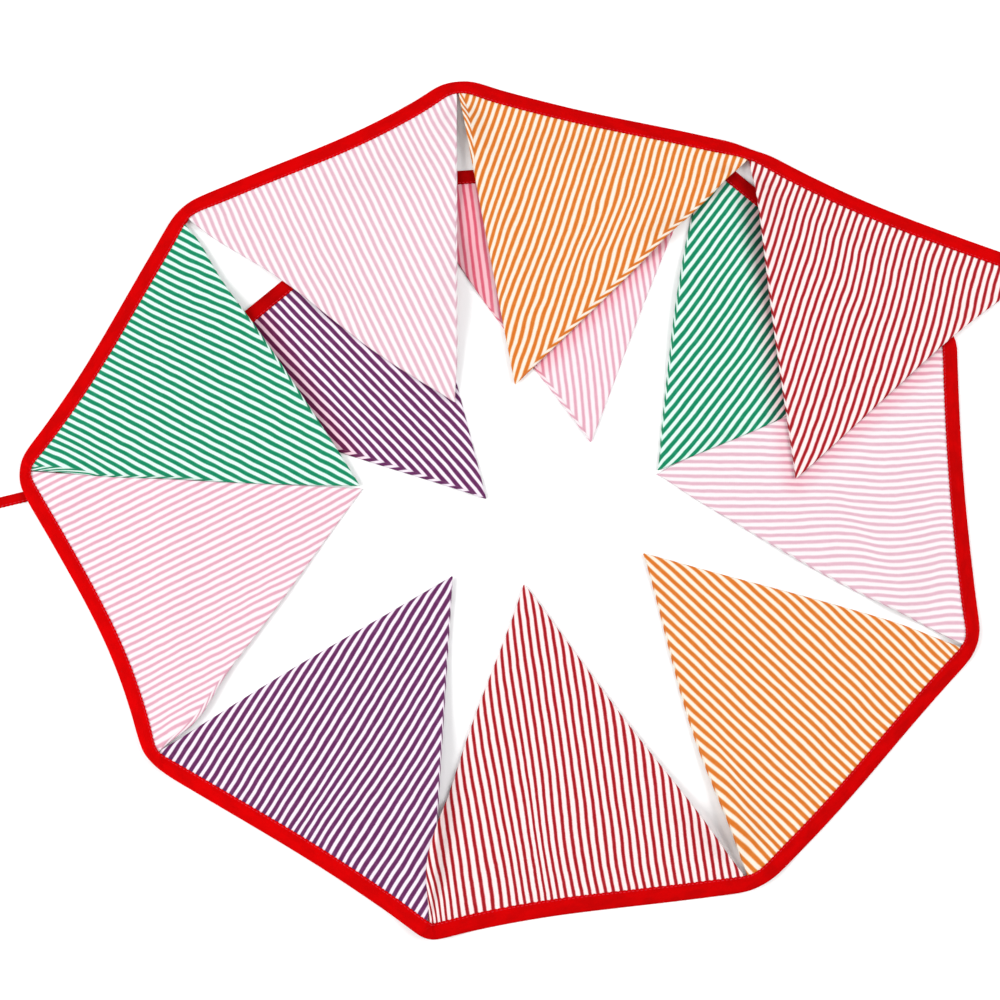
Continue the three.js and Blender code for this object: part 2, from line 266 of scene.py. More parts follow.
def strip_distance(p, first, last, width, step=12):
    """How far outside a stretch of tape each point lies, 0 on it."""
    centres = tape_at(np.append(np.arange(first, last, step), last), width / 2)
    distance = np.full(p.shape[:-1], np.inf)
    for a, b in zip(centres[:-1], centres[1:]):
        distance = np.minimum(distance, segment_distance(p, a, b))
    return np.maximum(0.0, distance - width / 2)


def height_beneath(p):
    """How high the bedding stands under plan points p."""
    bedding = [
        (TAPE_HEIGHT + EDGE_CLEAR, strip_distance(p, LOWER_TAPE_FROM, FLAGS_TO, TAPE_WIDTH)),
        (TIE_HEIGHT + EDGE_CLEAR, strip_distance(p, FLAGS_TO, TAPE_LENGTH, TIE_WIDTH)),
    ]
    for lower in flags[FIRST_LOWER:]:
        bedding.append((FLAG_THICKNESS + LAP_CLEAR, outline_distance(p, lower["outline"])))
    return np.max([top * ease(1 - distance / LAP_RUN) for top, distance in bedding], axis=0)


def openness(p):
    """1 in the open, 0 where an upper flag lies on top."""
    near = np.min([outline_distance(p, flag["outline"]) for flag in flags[:UPPER_FLAGS]], axis=0)
    return ease(near / LAP_RUN)


def tape_lift_table():
    """How high the tape's underside stands, for each millimetre of tape."""
    lift = np.zeros_like(steps)
    upper = steps < flags[UPPER_FLAGS]["from"]
    for inward in (0, TAPE_WIDTH / 2, TAPE_WIDTH):
        lift[upper] = np.maximum(lift[upper], height_beneath(tape_at(steps[upper], inward)))
    for flag in flags:
        off = np.abs(steps - flag["to"]) / BUCKLE_RUN
        lift += flag["buckle"] * ease(1 - off)
    return lift


lift_table = tape_lift_table()


def tape_lift(s):
    return np.interp(s, steps, lift_table)


print("tape lifted by up to", lift_table.max().round(1), "mm")

# %% [markdown]
# ## How the stripes run
#
# Cloth that lies on a table keeps its own flatness: it bends into soft waves but hardly
# stretches. So a flag has two sets of numbers. The first is how its stripes run: their pitch, how
# many degrees they lean from the flag's own axis, where the first one falls, and how far the tip
# swings aside. One striped picture on every flag would show at once, because no two flags were
# cut from quite the same place on the roll. Only the swings were set by hand: a separate program
# fitted the pitches, leans and first stripes.

# %% How the stripes run
STRIPE_PITCH = 4.8  # of the cloth as it was woven
TIP_FROM = 138.0  # where down a flag its tip begins to swing
TIP_RUN = 55.0

GRAIN = ("pitch", "grain", "first_stripe", "tip_swing")
GRAINS = (
    (4.67, -4.7, 1.70, 3.0),
    (4.83, 4.6, 0.16, 0.0),
    (4.75, 0.7, 1.20, 0.7),
    (4.87, -1.2, 0.78, 0.8),
    (4.54, -0.7, 3.67, -2.4),
    (4.69, 0.2, 4.15, -0.6),
    (4.72, 0.5, 3.28, 0.0),
    (5.03, 0.1, 3.15, -1.0),
    (4.64, 2.2, 4.40, 0.0),
    (4.91, -1.6, 1.33, 3.0),
    (4.56, -1.6, 3.14, 3.0),
    (4.76, -1.8, 0.43, 3.0),
)
for flag, row in zip(flags, GRAINS):
    flag.update(zip(GRAIN, row))
print("stripes", min(row[0] for row in GRAINS), "to", max(row[0] for row in GRAINS), "mm apart")

# %% [markdown]
# ## The cloth's waves
#
# The second set of numbers is the waves, each a soft ridge or trough with its place on the flag,
# its direction, its half length and half width, how far it pushes the stripes aside and how high
# it stands. A noise texture would ripple every flag alike. Placed one by one, a few to a flag, the
# waves are as uneven as a hand leaves them.

# %% The cloth's waves
# flag number: (along, down, turn, half length, half width, push, rise)
WAVES = {
    1: ((-15, 26, 0, 60, 18, 1.5, 0.8), (-48, 90, 75, 45, 22, -0.8, 0.6),
        (5, 66, -10, 40, 12, -0.6, 0.9), (85, 12, 0, 25, 10, -1.0, 0.5),
        (14, 38, -10, 36, 6, 0.7, 0.3), (8, 150, 65, 30, 9, 0.5, 0.3)),
    2: ((-80, 18, 0, 30, 16, 1.0, 0.8), (-30, 15, 0, 60, 10, 0.6, 0.4),
        (-16, 64, 50, 35, 11, -1.5, 1.2), (-22, 92, 45, 28, 8, 1.2, -0.6),
        (30, 140, 65, 35, 14, 1.4, 0.9), (90, 13, 0, 9, 14, -2.5, 1.4),
        (43, 96, 103, 40, 8, 0.9, 0.4), (-82, 20, 90, 14, 9, -0.7, 0.3),
        (14, 146, 40, 16, 6, 0.8, 0.3), (-10, 60, 55, 16, 5, 0.6, 0.2)),
    3: ((-82, 18, 20, 25, 20, 1.6, 1.4), (-38, 90, 85, 50, 14, -0.8, 0.9),
        (18, 70, 90, 45, 22, 0.5, -0.4), (44, 97, 60, 22, 12, -1.3, 0.9),
        (85, 12, 0, 20, 12, -1.0, 0.6), (-90, 16, 80, 26, 7, 1.1, 0.3),
        (31, 106, 85, 15, 7, -0.9, 0.4), (35, 75, 70, 18, 6, 0.5, 0.2)),
    4: ((-58, 22, 0, 45, 24, 1.3, 0.9), (-28, 92, 55, 45, 16, -0.9, 0.9),
        (78, 28, 90, 26, 12, -2.2, 1.6), (30, 90, 80, 35, 22, 0.4, 0.4),
        (98, 8, 90, 16, 9, -5.0, 0.6), (-62, 34, 80, 14, 7, -0.5, 0.2)),
    5: ((80, 45, 105, 75, 26, -4.0, 1.4), (-78, 30, 60, 40, 14, -0.8, 0.6),
        (12, 95, 90, 60, 22, 0.3, 0.4), (42, 102, 100, 24, 7, -1.1, 0.4),
        (68, 55, 108, 42, 8, 0.8, 0.3), (88, 26, 100, 22, 7, -1.6, 0.8)),
    6: ((18, 22, 80, 34, 20, -1.9, 1.2), (5, 75, 60, 45, 25, 0.7, 0.8),
        (-22, 150, 60, 50, 16, -0.9, 0.6), (-45, 14, 0, 30, 10, 0.6, 0.3),
        (45, 95, 60, 30, 14, 0.4, 0.9), (50, 14, 0, 22, 9, -0.8, 0.3),
        (-4, 32, 92, 26, 4.5, 0.7, -0.3)),
    7: ((-50, 15, 90, 50, 18, 3.0, 0.9), (-16, 42, 90, 30, 16, -2.0, 1.2),
        (25, 22, 0, 25, 12, -0.8, 0.3), (48, 95, 115, 60, 20, 2.0, 0.8),
        (-50, 125, 60, 45, 22, -1.0, 0.5), (-105, 8, 90, 26, 10, 13.0, 0.0),
        (-32, 48, 91, 62, 4.5, 1.2, -0.5), (6, 36, 90, 16, 10, -0.8, 0.4),
        (75, 36, 118, 34, 8, -1.0, 0.4), (-92, 22, 90, 20, 8, 1.2, 0.3)),
    8: ((-80, 30, 75, 35, 10, 3.0, 1.4), (45, 12, 0, 65, 18, -1.4, 0.6),
        (-50, 15, 0, 22, 16, 0.8, 0.4), (42, 95, 100, 50, 20, 0.9, 0.7),
        (-35, 80, 90, 30, 16, -0.4, 0.6), (98, 8, 90, 20, 12, -5.0, 0.0),
        (-76, 32, 72, 20, 5, -1.3, 0.4), (-63, 66, 68, 24, 5, 1.1, -0.4),
        (-28, 24, 90, 26, 4.5, -0.7, -0.3)),
    9: ((-30, 14, 0, 75, 15, 3.0, 0.4), (-25, 48, 5, 45, 13, -1.8, 2.4),
        (12, 55, 0, 25, 14, -0.8, 0.8), (-28, 82, 30, 28, 17, 1.8, 1.6),
        (-15, 155, 65, 35, 15, -0.8, 0.4), (35, 140, 80, 35, 14, 0.9, 0.5),
        (-52, 14, 0, 34, 11, 1.1, 0.5), (-30, 60, 22, 40, 8, -0.9, -0.5),
        (34, 18, 90, 14, 8, 0.8, 0.4), (70, 24, 60, 16, 10, -0.9, 0.4)),
    10: ((25, 45, -45, 60, 20, 1.2, 0.6), (38, 98, 110, 32, 24, -1.4, 1.0),
         (37, 76, 100, 26, 8, 0.6, 0.3), (-2, 96, 80, 18, 7, -0.5, 0.3)),
    11: ((-58, 72, 60, 25, 15, 1.2, 0.7),),
    12: ((46, 108, 90, 28, 12, -1.2, 0.8), (40, 40, 90, 30, 10, 0.5, 0.5)),
}


def wave_sums(flag, x, y):
    """The stripes' push and the cloth's rise at a flag's own plan points x, y."""
    push, rise = np.zeros_like(x), np.zeros_like(x)
    for along, down, turn, half_length, half_width, pushes, rises in WAVES[flag["number"]]:
        c, s = math.cos(math.radians(turn)), math.sin(math.radians(turn))
        lengthwise = (x - along) * c + (y - down) * s
        across = (y - down) * c - (x - along) * s
        shape = np.exp(-((lengthwise / half_length) ** 2) - (across / half_width) ** 2)
        push += pushes * shape
        rise += rises * shape
    return push, rise


def rumple(x, y, size, seed, count=7):
    """Soft unevenness between -1 and 1: a few sine waves in directions of their own."""
    dice = np.random.default_rng(seed)
    total = np.zeros_like(x)
    for _ in range(count):
        turn, phase = dice.uniform(0, 2 * np.pi, 2)
        length = size * dice.uniform(0.6, 1.6)
        total += np.sin((x * np.cos(turn) + y * np.sin(turn)) * 2 * np.pi / length + phase)
    return total / count


print("waves placed:", sum(len(rows) for rows in WAVES.values()))

# %% [markdown]
# ## A flag's outline in place
#
# A flag is described by two shares: a along its top edge, and t from the tape's mouth down to its
# tip. These functions turn them into plan points. Inside the fold the cloth follows the tape, and
# below its mouth it runs straight to the tip, with its two sides swelling a little. Real sides
# stray from that where the cloth was pulled or creased, and the tape is pinched narrower where it
# turns, so a few rows say where, by how much and over what length.

# %% A flag's outline in place
EDGE_REACH = 15.0  # how far into a flag the pull of its edge is felt
PINCH_RUN = 13.0  # how far along the tape a pinched corner is felt

# flag number: (side, outward, down, half length, rise), where an edge strays from its line
EDGES = {
    1: (("start", -1.5, 60, 40, 0.0), ("start", 0.0, 52, 22, 3.0), ("end", 0.0, 50, 42, 6.5),
        ("end", 0.0, 14, 14, 4.0)),
    2: (("start", 0.0, 74, 16, 6.0), ("start", 0.0, 18, 16, 6.0), ("end", 0.0, 20, 28, 7.0)),
    3: (("start", 0.0, 20, 30, 6.5), ("end", 4.0, 26, 30, 0.4), ("end", 1.5, 90, 50, 0.0),
        ("end", 5.0, 145, 50, 0.0), ("start", 0.0, 135, 34, 8.0)),
    4: (("start", -5.0, 5, 14, 0.0), ("start", -4.5, 44, 36, 2.0), ("start", 0.0, 120, 50, 3.5),
        ("end", 1.6, 52, 28, 0.0), ("end", 1.8, 130, 55, 0.3)),
    5: (("end", 6.0, 38, 20, 0.8),),
    6: (("end", -3.0, 5, 16, 0.0), ("end", 0.0, 78, 44, 7.0)),
    7: (("start", 7.5, 44, 30, 0.0), ("end", -7.0, 5, 40, 0.0), ("end", 0.0, 34, 26, 6.0)),
    8: (("start", 6.0, 5, 34, 0.0), ("start", 0.0, 34, 26, 4.5), ("end", -5.0, 5, 28, 0.0)),
    9: (("start", 4.0, 5, 34, 0.0), ("end", 3.0, 160, 50, 0.0)),
    10: (("start", 4.0, 120, 60, 0.0), ("end", 0.0, 70, 50, 2.0)),
}
# flag number: how much narrower the tape is pinched at that flag's end corner
PINCHES = {1: 2.0, 2: 1.4, 3: 1.2, 4: 2.0, 5: 1.6, 6: 0.2, 7: 1.1, 8: 1.3}


def pinch(s):
    total = np.zeros_like(np.asarray(s, dtype=float))
    for number, depth in PINCHES.items():
        off = s - flags[number - 1]["to"]
        total = total + depth * np.exp(-((off / PINCH_RUN) ** 2))
    return total


def below_mouth(flag, down):
    """The share t: 0 at the tape's mouth, 1 at the tip, less than 0 in the fold."""
    return (down - MOUTH) / (flag["drop"] - MOUTH)


def edge_pull(flag, a, down):
    """How far the edges' straying moves a point along the flag, and how far it lifts it."""
    across = (1 - np.clip(below_mouth(flag, down), 0, 1)) * flag["width"]
    moved, lifted = np.zeros_like(down), np.zeros_like(down)
    for side, outward, middle, half_length, rise in EDGES.get(flag["number"], ()):
        near = across * (a if side == "start" else 1 - a)
        share = np.exp(-(((down - middle) / half_length) ** 2) - (near / EDGE_REACH) ** 2)
        moved += share * outward * (-1 if side == "start" else 1)
        lifted += share * rise
    return moved, lifted


def swell(t):
    """How a side's bulge grows from the tape and fades to the tip, most a little above half way."""
    return np.sin(np.pi * np.clip(t, 0, 1) ** 0.8) ** 1.5


def station(flag, a):
    """Where along the tape a share a of a flag's top edge is sewn."""
    return flag["from"] + mix(FLAG_GAP / 2, flag["width"] - FLAG_GAP / 2, a)


def own_points(flag, p):
    """Plan points in a flag's own terms: along its top edge from the middle, and down."""
    from_middle = p - flag["middle"]
    return np.stack([from_middle @ flag["along"], from_middle @ flag["inward"]], axis=1)


def flag_plan(flag, a, down):
    """Plan points, for down millimetres from the tape's outer fold."""
    pull, _ = edge_pull(flag, a, down)
    s = station(flag, a)
    t = below_mouth(flag, down)
    out = (flag["end_out"] * a**2 - flag["start_out"] * (1 - a) ** 2) * swell(t)
    free = mix(tape_at(s, MOUTH), flag["tip"], np.clip(t, 0, 1)[:, None])
    free = free + out[:, None] * flag["along"]
    in_fold = down + pinch(s) * (MOUTH - down) / (MOUTH - EDGE_IN_FOLD)
    return np.where((t < 0)[:, None], tape_at(s, in_fold), free) + pull[:, None] * flag["along"]


print("edges stray in", sum(len(rows) for rows in EDGES.values()), "places")

# %% [markdown]
# ## How high a flag stands
#
# Heights are added up from the table: the bedding, the raised sides and tip, one broad ripple,
# the placed waves and a fine rumple. Just below the tape, the stitching draws the cloth into
# small puckers. Where one flag's edge lies on its neighbour, the neighbour's own top is asked for,
# so the two touch without passing through each other. A Displace modifier could add such relief,
# but it could not ask another piece for its height.

# %% How high a flag stands
SIDE_RUN = 26  # how far into a flag its side lifts it
SIDE_PEAK = 0.28  # the share down a side where it stands highest
SIDE_KEPT = 0.35  # how much of its solid's lift a side keeps; the rest sits in EDGES
SETTLE_RUN = 22  # how far below the tape the cloth reaches the table
LIES_FLAT = 0.25  # relief that the cloth's own weight presses flat
RIPPLE_LENGTH = 78
RIPPLE_TURN = 62  # degrees between a flag's heading and its ripple's
RIPPLE_SHIFT = 0.37  # of a ripple, from one flag to the next
TIP_LIFT = 0.75  # the share down a flag where its tip begins to lift
SIDE_FROM = 0.08  # the shares down a flag over which its sides, ripple and rumple set in
RIPPLE_FROM = 0.2
RUMPLE_FROM = 0.1
RUMPLE_HEIGHT = 0.16
RUMPLE_SIZE = 24
RUMPLE_SEED = 100
GATHER_RUN = 9.0  # how far the stitching's small puckers reach into a flag
GATHER_PITCH = 8.5
GATHER_HEIGHT = 0.22
GATHER_FROM = 2.0  # and how far from the tape they begin
GATHER_STRAY = 1.7  # radians by which the puckers stray from even spacing
GATHER_STRAY_SIZE = 40
GATHER_SEED = 300
OUT_OF_FOLD = 5.0  # how far below the mouth a flag is free to climb onto another
REST_RUN = 6.0  # how far beside a flag's edge the cloth that rests on it comes down
REST_GAP = 0.3  # between the two
ALLOWANCE_HEIGHT = 0.22  # how much thicker the turned-in seam allowance makes the cloth
SEARCHES = 5  # steps that find a plan point's own place on a flag
NARROWEST = 0.02  # of a flag's width, which keeps those steps steady at the tip

# flag number: the neighbours that its edge lies on
RESTS = {1: (9, 10), 2: (10, 11), 3: (11, 12), 4: (5, 12), 7: (6,), 10: (9,)}


def side_lifts(flag, a, t):
    """How high the two sides lift the cloth."""
    across = (1 - t) * flag["width"]
    shape = t / SIDE_PEAK * np.exp(1 - t / SIDE_PEAK)
    start = flag["start_up"] * np.exp(-((a * across / SIDE_RUN) ** 2))
    end = flag["end_up"] * np.exp(-(((1 - a) * across / SIDE_RUN) ** 2))
    _, lifted = edge_pull(flag, a, mix(MOUTH, flag["drop"], t))
    return (start + end) * shape * SIDE_KEPT + lifted * ease(t / SIDE_FROM)


def broad_ripple(flag, t, p):
    turn = math.radians(flag["heading"] + RIPPLE_TURN)
    phase = (p[:, 0] * math.cos(turn) + p[:, 1] * math.sin(turn)) / RIPPLE_LENGTH
    ripple = np.maximum(0, np.sin(2 * np.pi * (phase + RIPPLE_SHIFT * flag["index"])))
    return ripple * (flag["ripple"] * (1 - t) * ease(t / RIPPLE_FROM))


def flag_relief(flag, a, t, p, own):
    """How high the cloth stands over its bedding, below the tape."""
    tip = flag["tip_up"] * ease((t - TIP_LIFT) / (1 - TIP_LIFT))
    _, waves = wave_sums(flag, own[:, 0], own[:, 1])
    raised = side_lifts(flag, a, t) + tip + broad_ripple(flag, t, p) + waves
    relief = np.maximum(0, raised - LIES_FLAT)
    fine = 0.5 + 0.5 * rumple(own[:, 0], own[:, 1], RUMPLE_SIZE, RUMPLE_SEED + flag["index"])
    relief += RUMPLE_HEIGHT * fine * ease(t / RUMPLE_FROM)
    return relief if flag["index"] < FIRST_LOWER else relief * openness(p)


def gathers(flag, own, deep):
    """Small puckers where the stitching draws the top edge in, deep millimetres from the tape."""
    seed = GATHER_SEED + flag["index"]
    stray = GATHER_STRAY * rumple(own[:, 0], own[:, 1], GATHER_STRAY_SIZE, seed)
    wave = 0.5 + 0.5 * np.sin(2 * np.pi * own[:, 0] / GATHER_PITCH + stray)
    return GATHER_HEIGHT * wave * ease(deep / GATHER_FROM) * np.exp(-((deep / GATHER_RUN) ** 2))


def flag_underside(flag, a, down, p, own):
    t = np.clip(below_mouth(flag, down), 0, 1)
    pull, _ = edge_pull(flag, a, down)
    in_fold = tape_lift(station(flag, a) + pull) + TAPE_WALL + TAPE_PLAY
    beneath = height_beneath(p) if flag["index"] < UPPER_FLAGS else np.zeros(len(p))
    free = beneath + flag_relief(flag, a, t, p, own)
    deep = t * (flag["drop"] - MOUTH)
    z = np.maximum(mix(in_fold, free, ease(deep / SETTLE_RUN)), beneath)
    z = z + gathers(flag, own, deep)
    out_of_fold = ease((down - MOUTH) / OUT_OF_FOLD)
    for number in RESTS.get(flag["number"], ()):
        z = np.maximum(z, top_near(flags[number - 1], p) * out_of_fold)
    return z


def top_near(flag, p):
    """How high a flag's top stands at plan points p, easing down beside its edges."""
    own = own_points(flag, p)
    a, down = np.full(len(p), 0.5), own[:, 1].copy()
    for _ in range(SEARCHES):
        off = p - flag_plan(flag, a, down)
        across = np.maximum(1 - below_mouth(flag, down), NARROWEST) * flag["width"]
        a = np.clip(a + (off @ flag["along"]) / across, 0, 1)
        down = np.clip(down + off @ flag["inward"], EDGE_IN_FOLD, flag["drop"])
    off = np.linalg.norm(p - flag_plan(flag, a, down), axis=1)
    top = flag_underside(flag, a, down, p, own) + FLAG_THICKNESS + ALLOWANCE_HEIGHT + REST_GAP
    return top * ease(1 - off / REST_RUN)


print("flags lying on neighbours:", sorted(RESTS))

# %% [markdown]
# ## A net of small triangles
#
# A flag's mesh is a triangle of small triangles. A grid squeezed to a triangle would crowd its
# rows at the tip, while this net is even, and only draws closer together near the edges, where
# the cloth rounds over the seam.

# %% A net of small triangles
CELLS = 112  # triangles along a flag's edge
EDGE_BIAS = 0.24  # the smaller, the closer together the net's lines near the edges


def triangle_net(count):
    """Steps from the start side, the end side and the top of each point, and the faces."""
    rows = [np.arange(count - r + 1) for r in range(count + 1)]
    first = np.cumsum([0] + [len(row) for row in rows])
    from_start = np.concatenate(rows)
    from_top = np.repeat(np.arange(count + 1), [len(row) for row in rows])
    faces = []
    for r in range(count):
        upper = first[r] + np.arange(count - r)
        lower = first[r + 1] + np.arange(count - r)
        faces.append(np.stack([upper, upper + 1, lower], axis=1))
        inner = slice(0, count - r - 1)
        faces.append(np.stack([upper + 1, lower + 1, lower], axis=1)[inner])
    return from_start, count - from_top - from_start, from_top, np.concatenate(faces)


FROM_START, FROM_END, FROM_TOP, NET_FACES = triangle_net(CELLS)
ON_RIM = (FROM_START == 0) | (FROM_END == 0) | (FROM_TOP == 0)


def net_shares():
    """Each net point's share along the top edge and down to the tip."""
    steps_in = (FROM_START, FROM_END, FROM_TOP)
    start, end, top = ((n / CELLS) * (n / CELLS + EDGE_BIAS) for n in steps_in)
    along = np.where(start + end > 0, start / np.maximum(start + end, 1e-12), 0.5)
    return along, top / (start + end + top)


print("net of", len(NET_FACES), "triangles")

# %% [markdown]
# ## Where the stripes fall
#
# A flag is two layers, sewn along its sides and turned right side out. Cloth seldom turns exactly
# at the seam: along some sides the back layer has rolled into view as a narrow band whose stripes
# lean the other way. Rather than model a second layer there, each point is given two places on
# the cut cloth, in front and rolled over, and how far it lies past the seam. The finish picks one.

# %% Where the stripes fall
SEAM_PULL = 0.9  # how much cloth goes round the seam's edge
SEAM_PULL_RUN = 1.6  # and over how wide a strip beside it
ROLL_LEAN = 2.4  # how fast the back layer's stripes fall behind, past the seam
LEAST_ROLL = 0.3  # a narrower roll does not show
NO_ROLL = -9.0  # far inside the seam
WOBBLES = ((0.3, 20, 200, 7), (0.16, 7.5, 220, 9))  # of the stripes: most, length, seed, waves

# flag number: (side, width, from, to), the stretch of a side where the back layer shows
ROLLS = {
    1: (("end", 1.4, 0.1, 1.0),),
    2: (("start", 3.6, 0.12, 0.97), ("end", 5.0, -0.05, 0.26)),
    3: (("start", 1.5, 0.1, 0.9),),
    4: (("start", 2.2, 0.3, 0.8), ("end", 6.0, -0.07, 0.2), ("end", 2.2, 0.15, 0.6)),
    5: (("end", 4.0, 0.0, 0.32),),
    6: (("end", 2.1, 0.1, 0.97),),
    8: (("start", 1.1, 0.03, 1.0),),
    9: (("start", 1.2, 0.05, 0.8),),
    10: (("end", 2.3, 0.05, 0.97),),
    11: (("end", 2.8, 0.45, 1.0),),
    12: (("end", 2.4, 0.35, 1.0),),
}


def seam_roll(flag, t, side):
    """How wide the back layer shows along a side."""
    width = np.zeros_like(t)
    for rolled, most, low, high in ROLLS.get(flag["number"], ()):
        if rolled == side:
            share = np.clip((t - low) / (high - low), 0, 1)
            width = np.maximum(width, most * np.sin(np.pi * share) ** 0.5)
    return width


def stripe_places(flag, own):
    """How far each point lies across the stripes of the cut cloth, from a stripe's middle."""
    push, _ = wave_sums(flag, own[:, 0], own[:, 1])
    swing = flag["tip_swing"] * np.clip((own[:, 1] - TIP_FROM) / TIP_RUN, 0, None) ** 2
    lean = math.tan(math.radians(flag["grain"])) * own[:, 1]
    wobble = np.zeros_like(lean)
    for most, length, seed, waves in WOBBLES:
        wobble += most * rumple(own[:, 0], own[:, 1], length, seed + flag["index"], waves)
    return own[:, 0] - flag["first_stripe"] - lean - push - swing + wobble


def cloth_places(flag, own, t, near):
    """Where each point lies on the cut cloth, in front and rolled over from the back."""
    across = stripe_places(flag, own)
    outward = 1 / math.hypot(1, flag["width"] / 2 / flag["drop"])
    rolled = across.copy()
    shows = np.full_like(across, NO_ROLL)
    for side, sign in (("start", -1), ("end", 1)):
        width = seam_roll(flag, t, side)
        beyond = width - near[side]
        here = (beyond > shows) & (width > LEAST_ROLL)
        rolled = np.where(here, across - ROLL_LEAN * sign * outward * beyond, rolled)
        shows = np.where(here, beyond, shows)
        pull = SEAM_PULL * np.exp(-near[side] / SEAM_PULL_RUN) * (1 - ease(width))
        across = across + sign * outward * pull
    scale = STRIPE_PITCH / flag["pitch"]
    front, back = (np.stack([x * scale, own[:, 1]], axis=1) for x in (across, rolled))
    return front, back, shows


print("rolled sides:", sum(len(rows) for rows in ROLLS.values()))

# %% [markdown]
# ## A flag as one closed sheet
#
# The net serves twice, for the upper and the lower layer, and the two share their rim, so the
# piece is one closed sheet whose edge rounds over the seam. A Solidify modifier would thicken a
# single layer as well, but here the turned-in allowance beside each seam makes the cloth a little
# thicker on its upper side only, as it lies on the table.

# %% A flag as one closed sheet
SEAM_ROUND = 1.1  # how far in from a seam the cloth is rounded over
ALLOWANCE_WIDTH = 5.5  # of the turned-in allowance beside a seam
ALLOWANCE_EDGE = 1.6  # over which the allowance thins out
ALLOWANCE_FROM = 0.05  # the share down a flag over which it sets in
TIP_BLUNT = 0.6


def flag_points(flag):
    a, share = net_shares()
    down = mix(EDGE_IN_FOLD, flag["drop"], share)
    blunt = down - TIP_BLUNT * np.exp((down - flag["drop"]) / TIP_BLUNT)
    p = flag_plan(flag, a, blunt)
    t = np.clip(below_mouth(flag, down), 0, 1)
    across = (1 - t) * flag["width"] / math.hypot(1, flag["width"] / 2 / flag["drop"])
    near = {"start": a * across, "end": (1 - a) * across}
    return a, blunt, t, p, own_points(flag, p), near


def layer_heights(flag, a, down, t, p, own, side):
    """The upper and lower layer's heights, side millimetres in from the nearer seam."""
    rim = np.minimum(side, down - EDGE_IN_FOLD)
    rounding = np.sqrt(1 - (1 - np.clip(rim / SEAM_ROUND, 0, 1)) ** 2)
    allowance = ALLOWANCE_HEIGHT * ease((ALLOWANCE_WIDTH - side) / ALLOWANCE_EDGE)
    middle = flag_underside(flag, a, down, p, own) + FLAG_THICKNESS / 2
    upper = middle + rounding * (FLAG_THICKNESS / 2 + allowance * ease(t / ALLOWANCE_FROM))
    return upper, middle - rounding * FLAG_THICKNESS / 2


def build_flag(flag):
    a, down, t, p, own, near = flag_points(flag)
    side = np.minimum(near["start"], near["end"])
    upper, lower = layer_heights(flag, a, down, t, p, own, side)
    index = np.arange(len(p))
    below = index.copy()
    below[~ON_RIM] = len(p) + np.arange((~ON_RIM).sum())
    points = np.concatenate([np.c_[p, upper], np.c_[p, lower][~ON_RIM]])
    faces = np.concatenate([NET_FACES, below[NET_FACES][:, ::-1]])
    doubled = np.concatenate([index, index[~ON_RIM]])
    front, back, shows = cloth_places(flag, own, t, near)
    return points, faces, front[doubled], back[doubled], shows[doubled]


print("a flag's sheet:", 2 * len(NET_FACES), "triangles")

# %% [markdown]
# ## From numbers to a mesh
#
# A cloth mesh carries its own pattern: a UV map in metres says where each point lies on the cut
# cloth, so stripes and weave bend with the folds, which a pattern in object coordinates could not
# do. An attribute adds one more number to each point. The points' places are in the mesh, and the
# object stays at the origin.


# %% From numbers to a mesh
def add_uv(mesh, name, corners):
    layer = mesh.uv_layers.new(name=name)
    layer.data.foreach_set("uv", (corners * MM).astype(np.float32).ravel())


def add_values(mesh, name, values):
    layer = mesh.attributes.new(name, "FLOAT", "POINT")
    layer.data.foreach_set("value", values.astype(np.float32))


def new_piece(name, points, faces, material):
    mesh = bpy.data.meshes.new(name)
    mesh.from_pydata((points * MM).tolist(), [], faces)
    mesh.polygons.foreach_set("use_smooth", np.ones(len(mesh.polygons), dtype=bool))
    mesh.materials.append(material)
    piece = bpy.data.objects.new(name, mesh)
    bpy.context.scene.collection.objects.link(piece)
    return piece


# %% [markdown]
# ## Shader sums
#
# A finish is easier to read as an expression than as a list of nodes and links. One small class
# wraps a socket, so that adding or multiplying two of them adds the Math node for it. The other
# holds a material, and its one method node adds every other node. Colours are mixed by Mix nodes,
# since a Math node would turn them grey.


# %% Shader sums
class Wire:
    def __init__(self, finish, socket):
        self.finish = finish
        self.socket = socket

    def math(self, operation, *values, **settings):
        return self.finish.node("ShaderNodeMath", {"operation": operation, **settings}, *values)

    def __add__(self, other):
        return self.math("ADD", self, other)

    def __sub__(self, other):
        return self.math("SUBTRACT", self, other)

    def __rsub__(self, other):
        return self.math("SUBTRACT", other, self)

    def __mul__(self, other):
        return self.math("MULTIPLY", self, other)

    def __truediv__(self, other):
        return self.math("DIVIDE", self, other)

    __radd__ = __add__
    __rmul__ = __mul__

    def absolute(self):
        return self.math("ABSOLUTE", self)

    def fraction(self):
        return self.math("FRACT", self)

    def sine(self):
        return self.math("SINE", self)

    def above(self, limit):
        return self.math("GREATER_THAN", self, limit)

    def soft_step(self, low, high):
        """0 below low, 1 above high."""
        settings = {"interpolation_type": "SMOOTHSTEP"}
        return self.finish.node("ShaderNodeMapRange", settings, self, low, high, 0.0, 1.0)


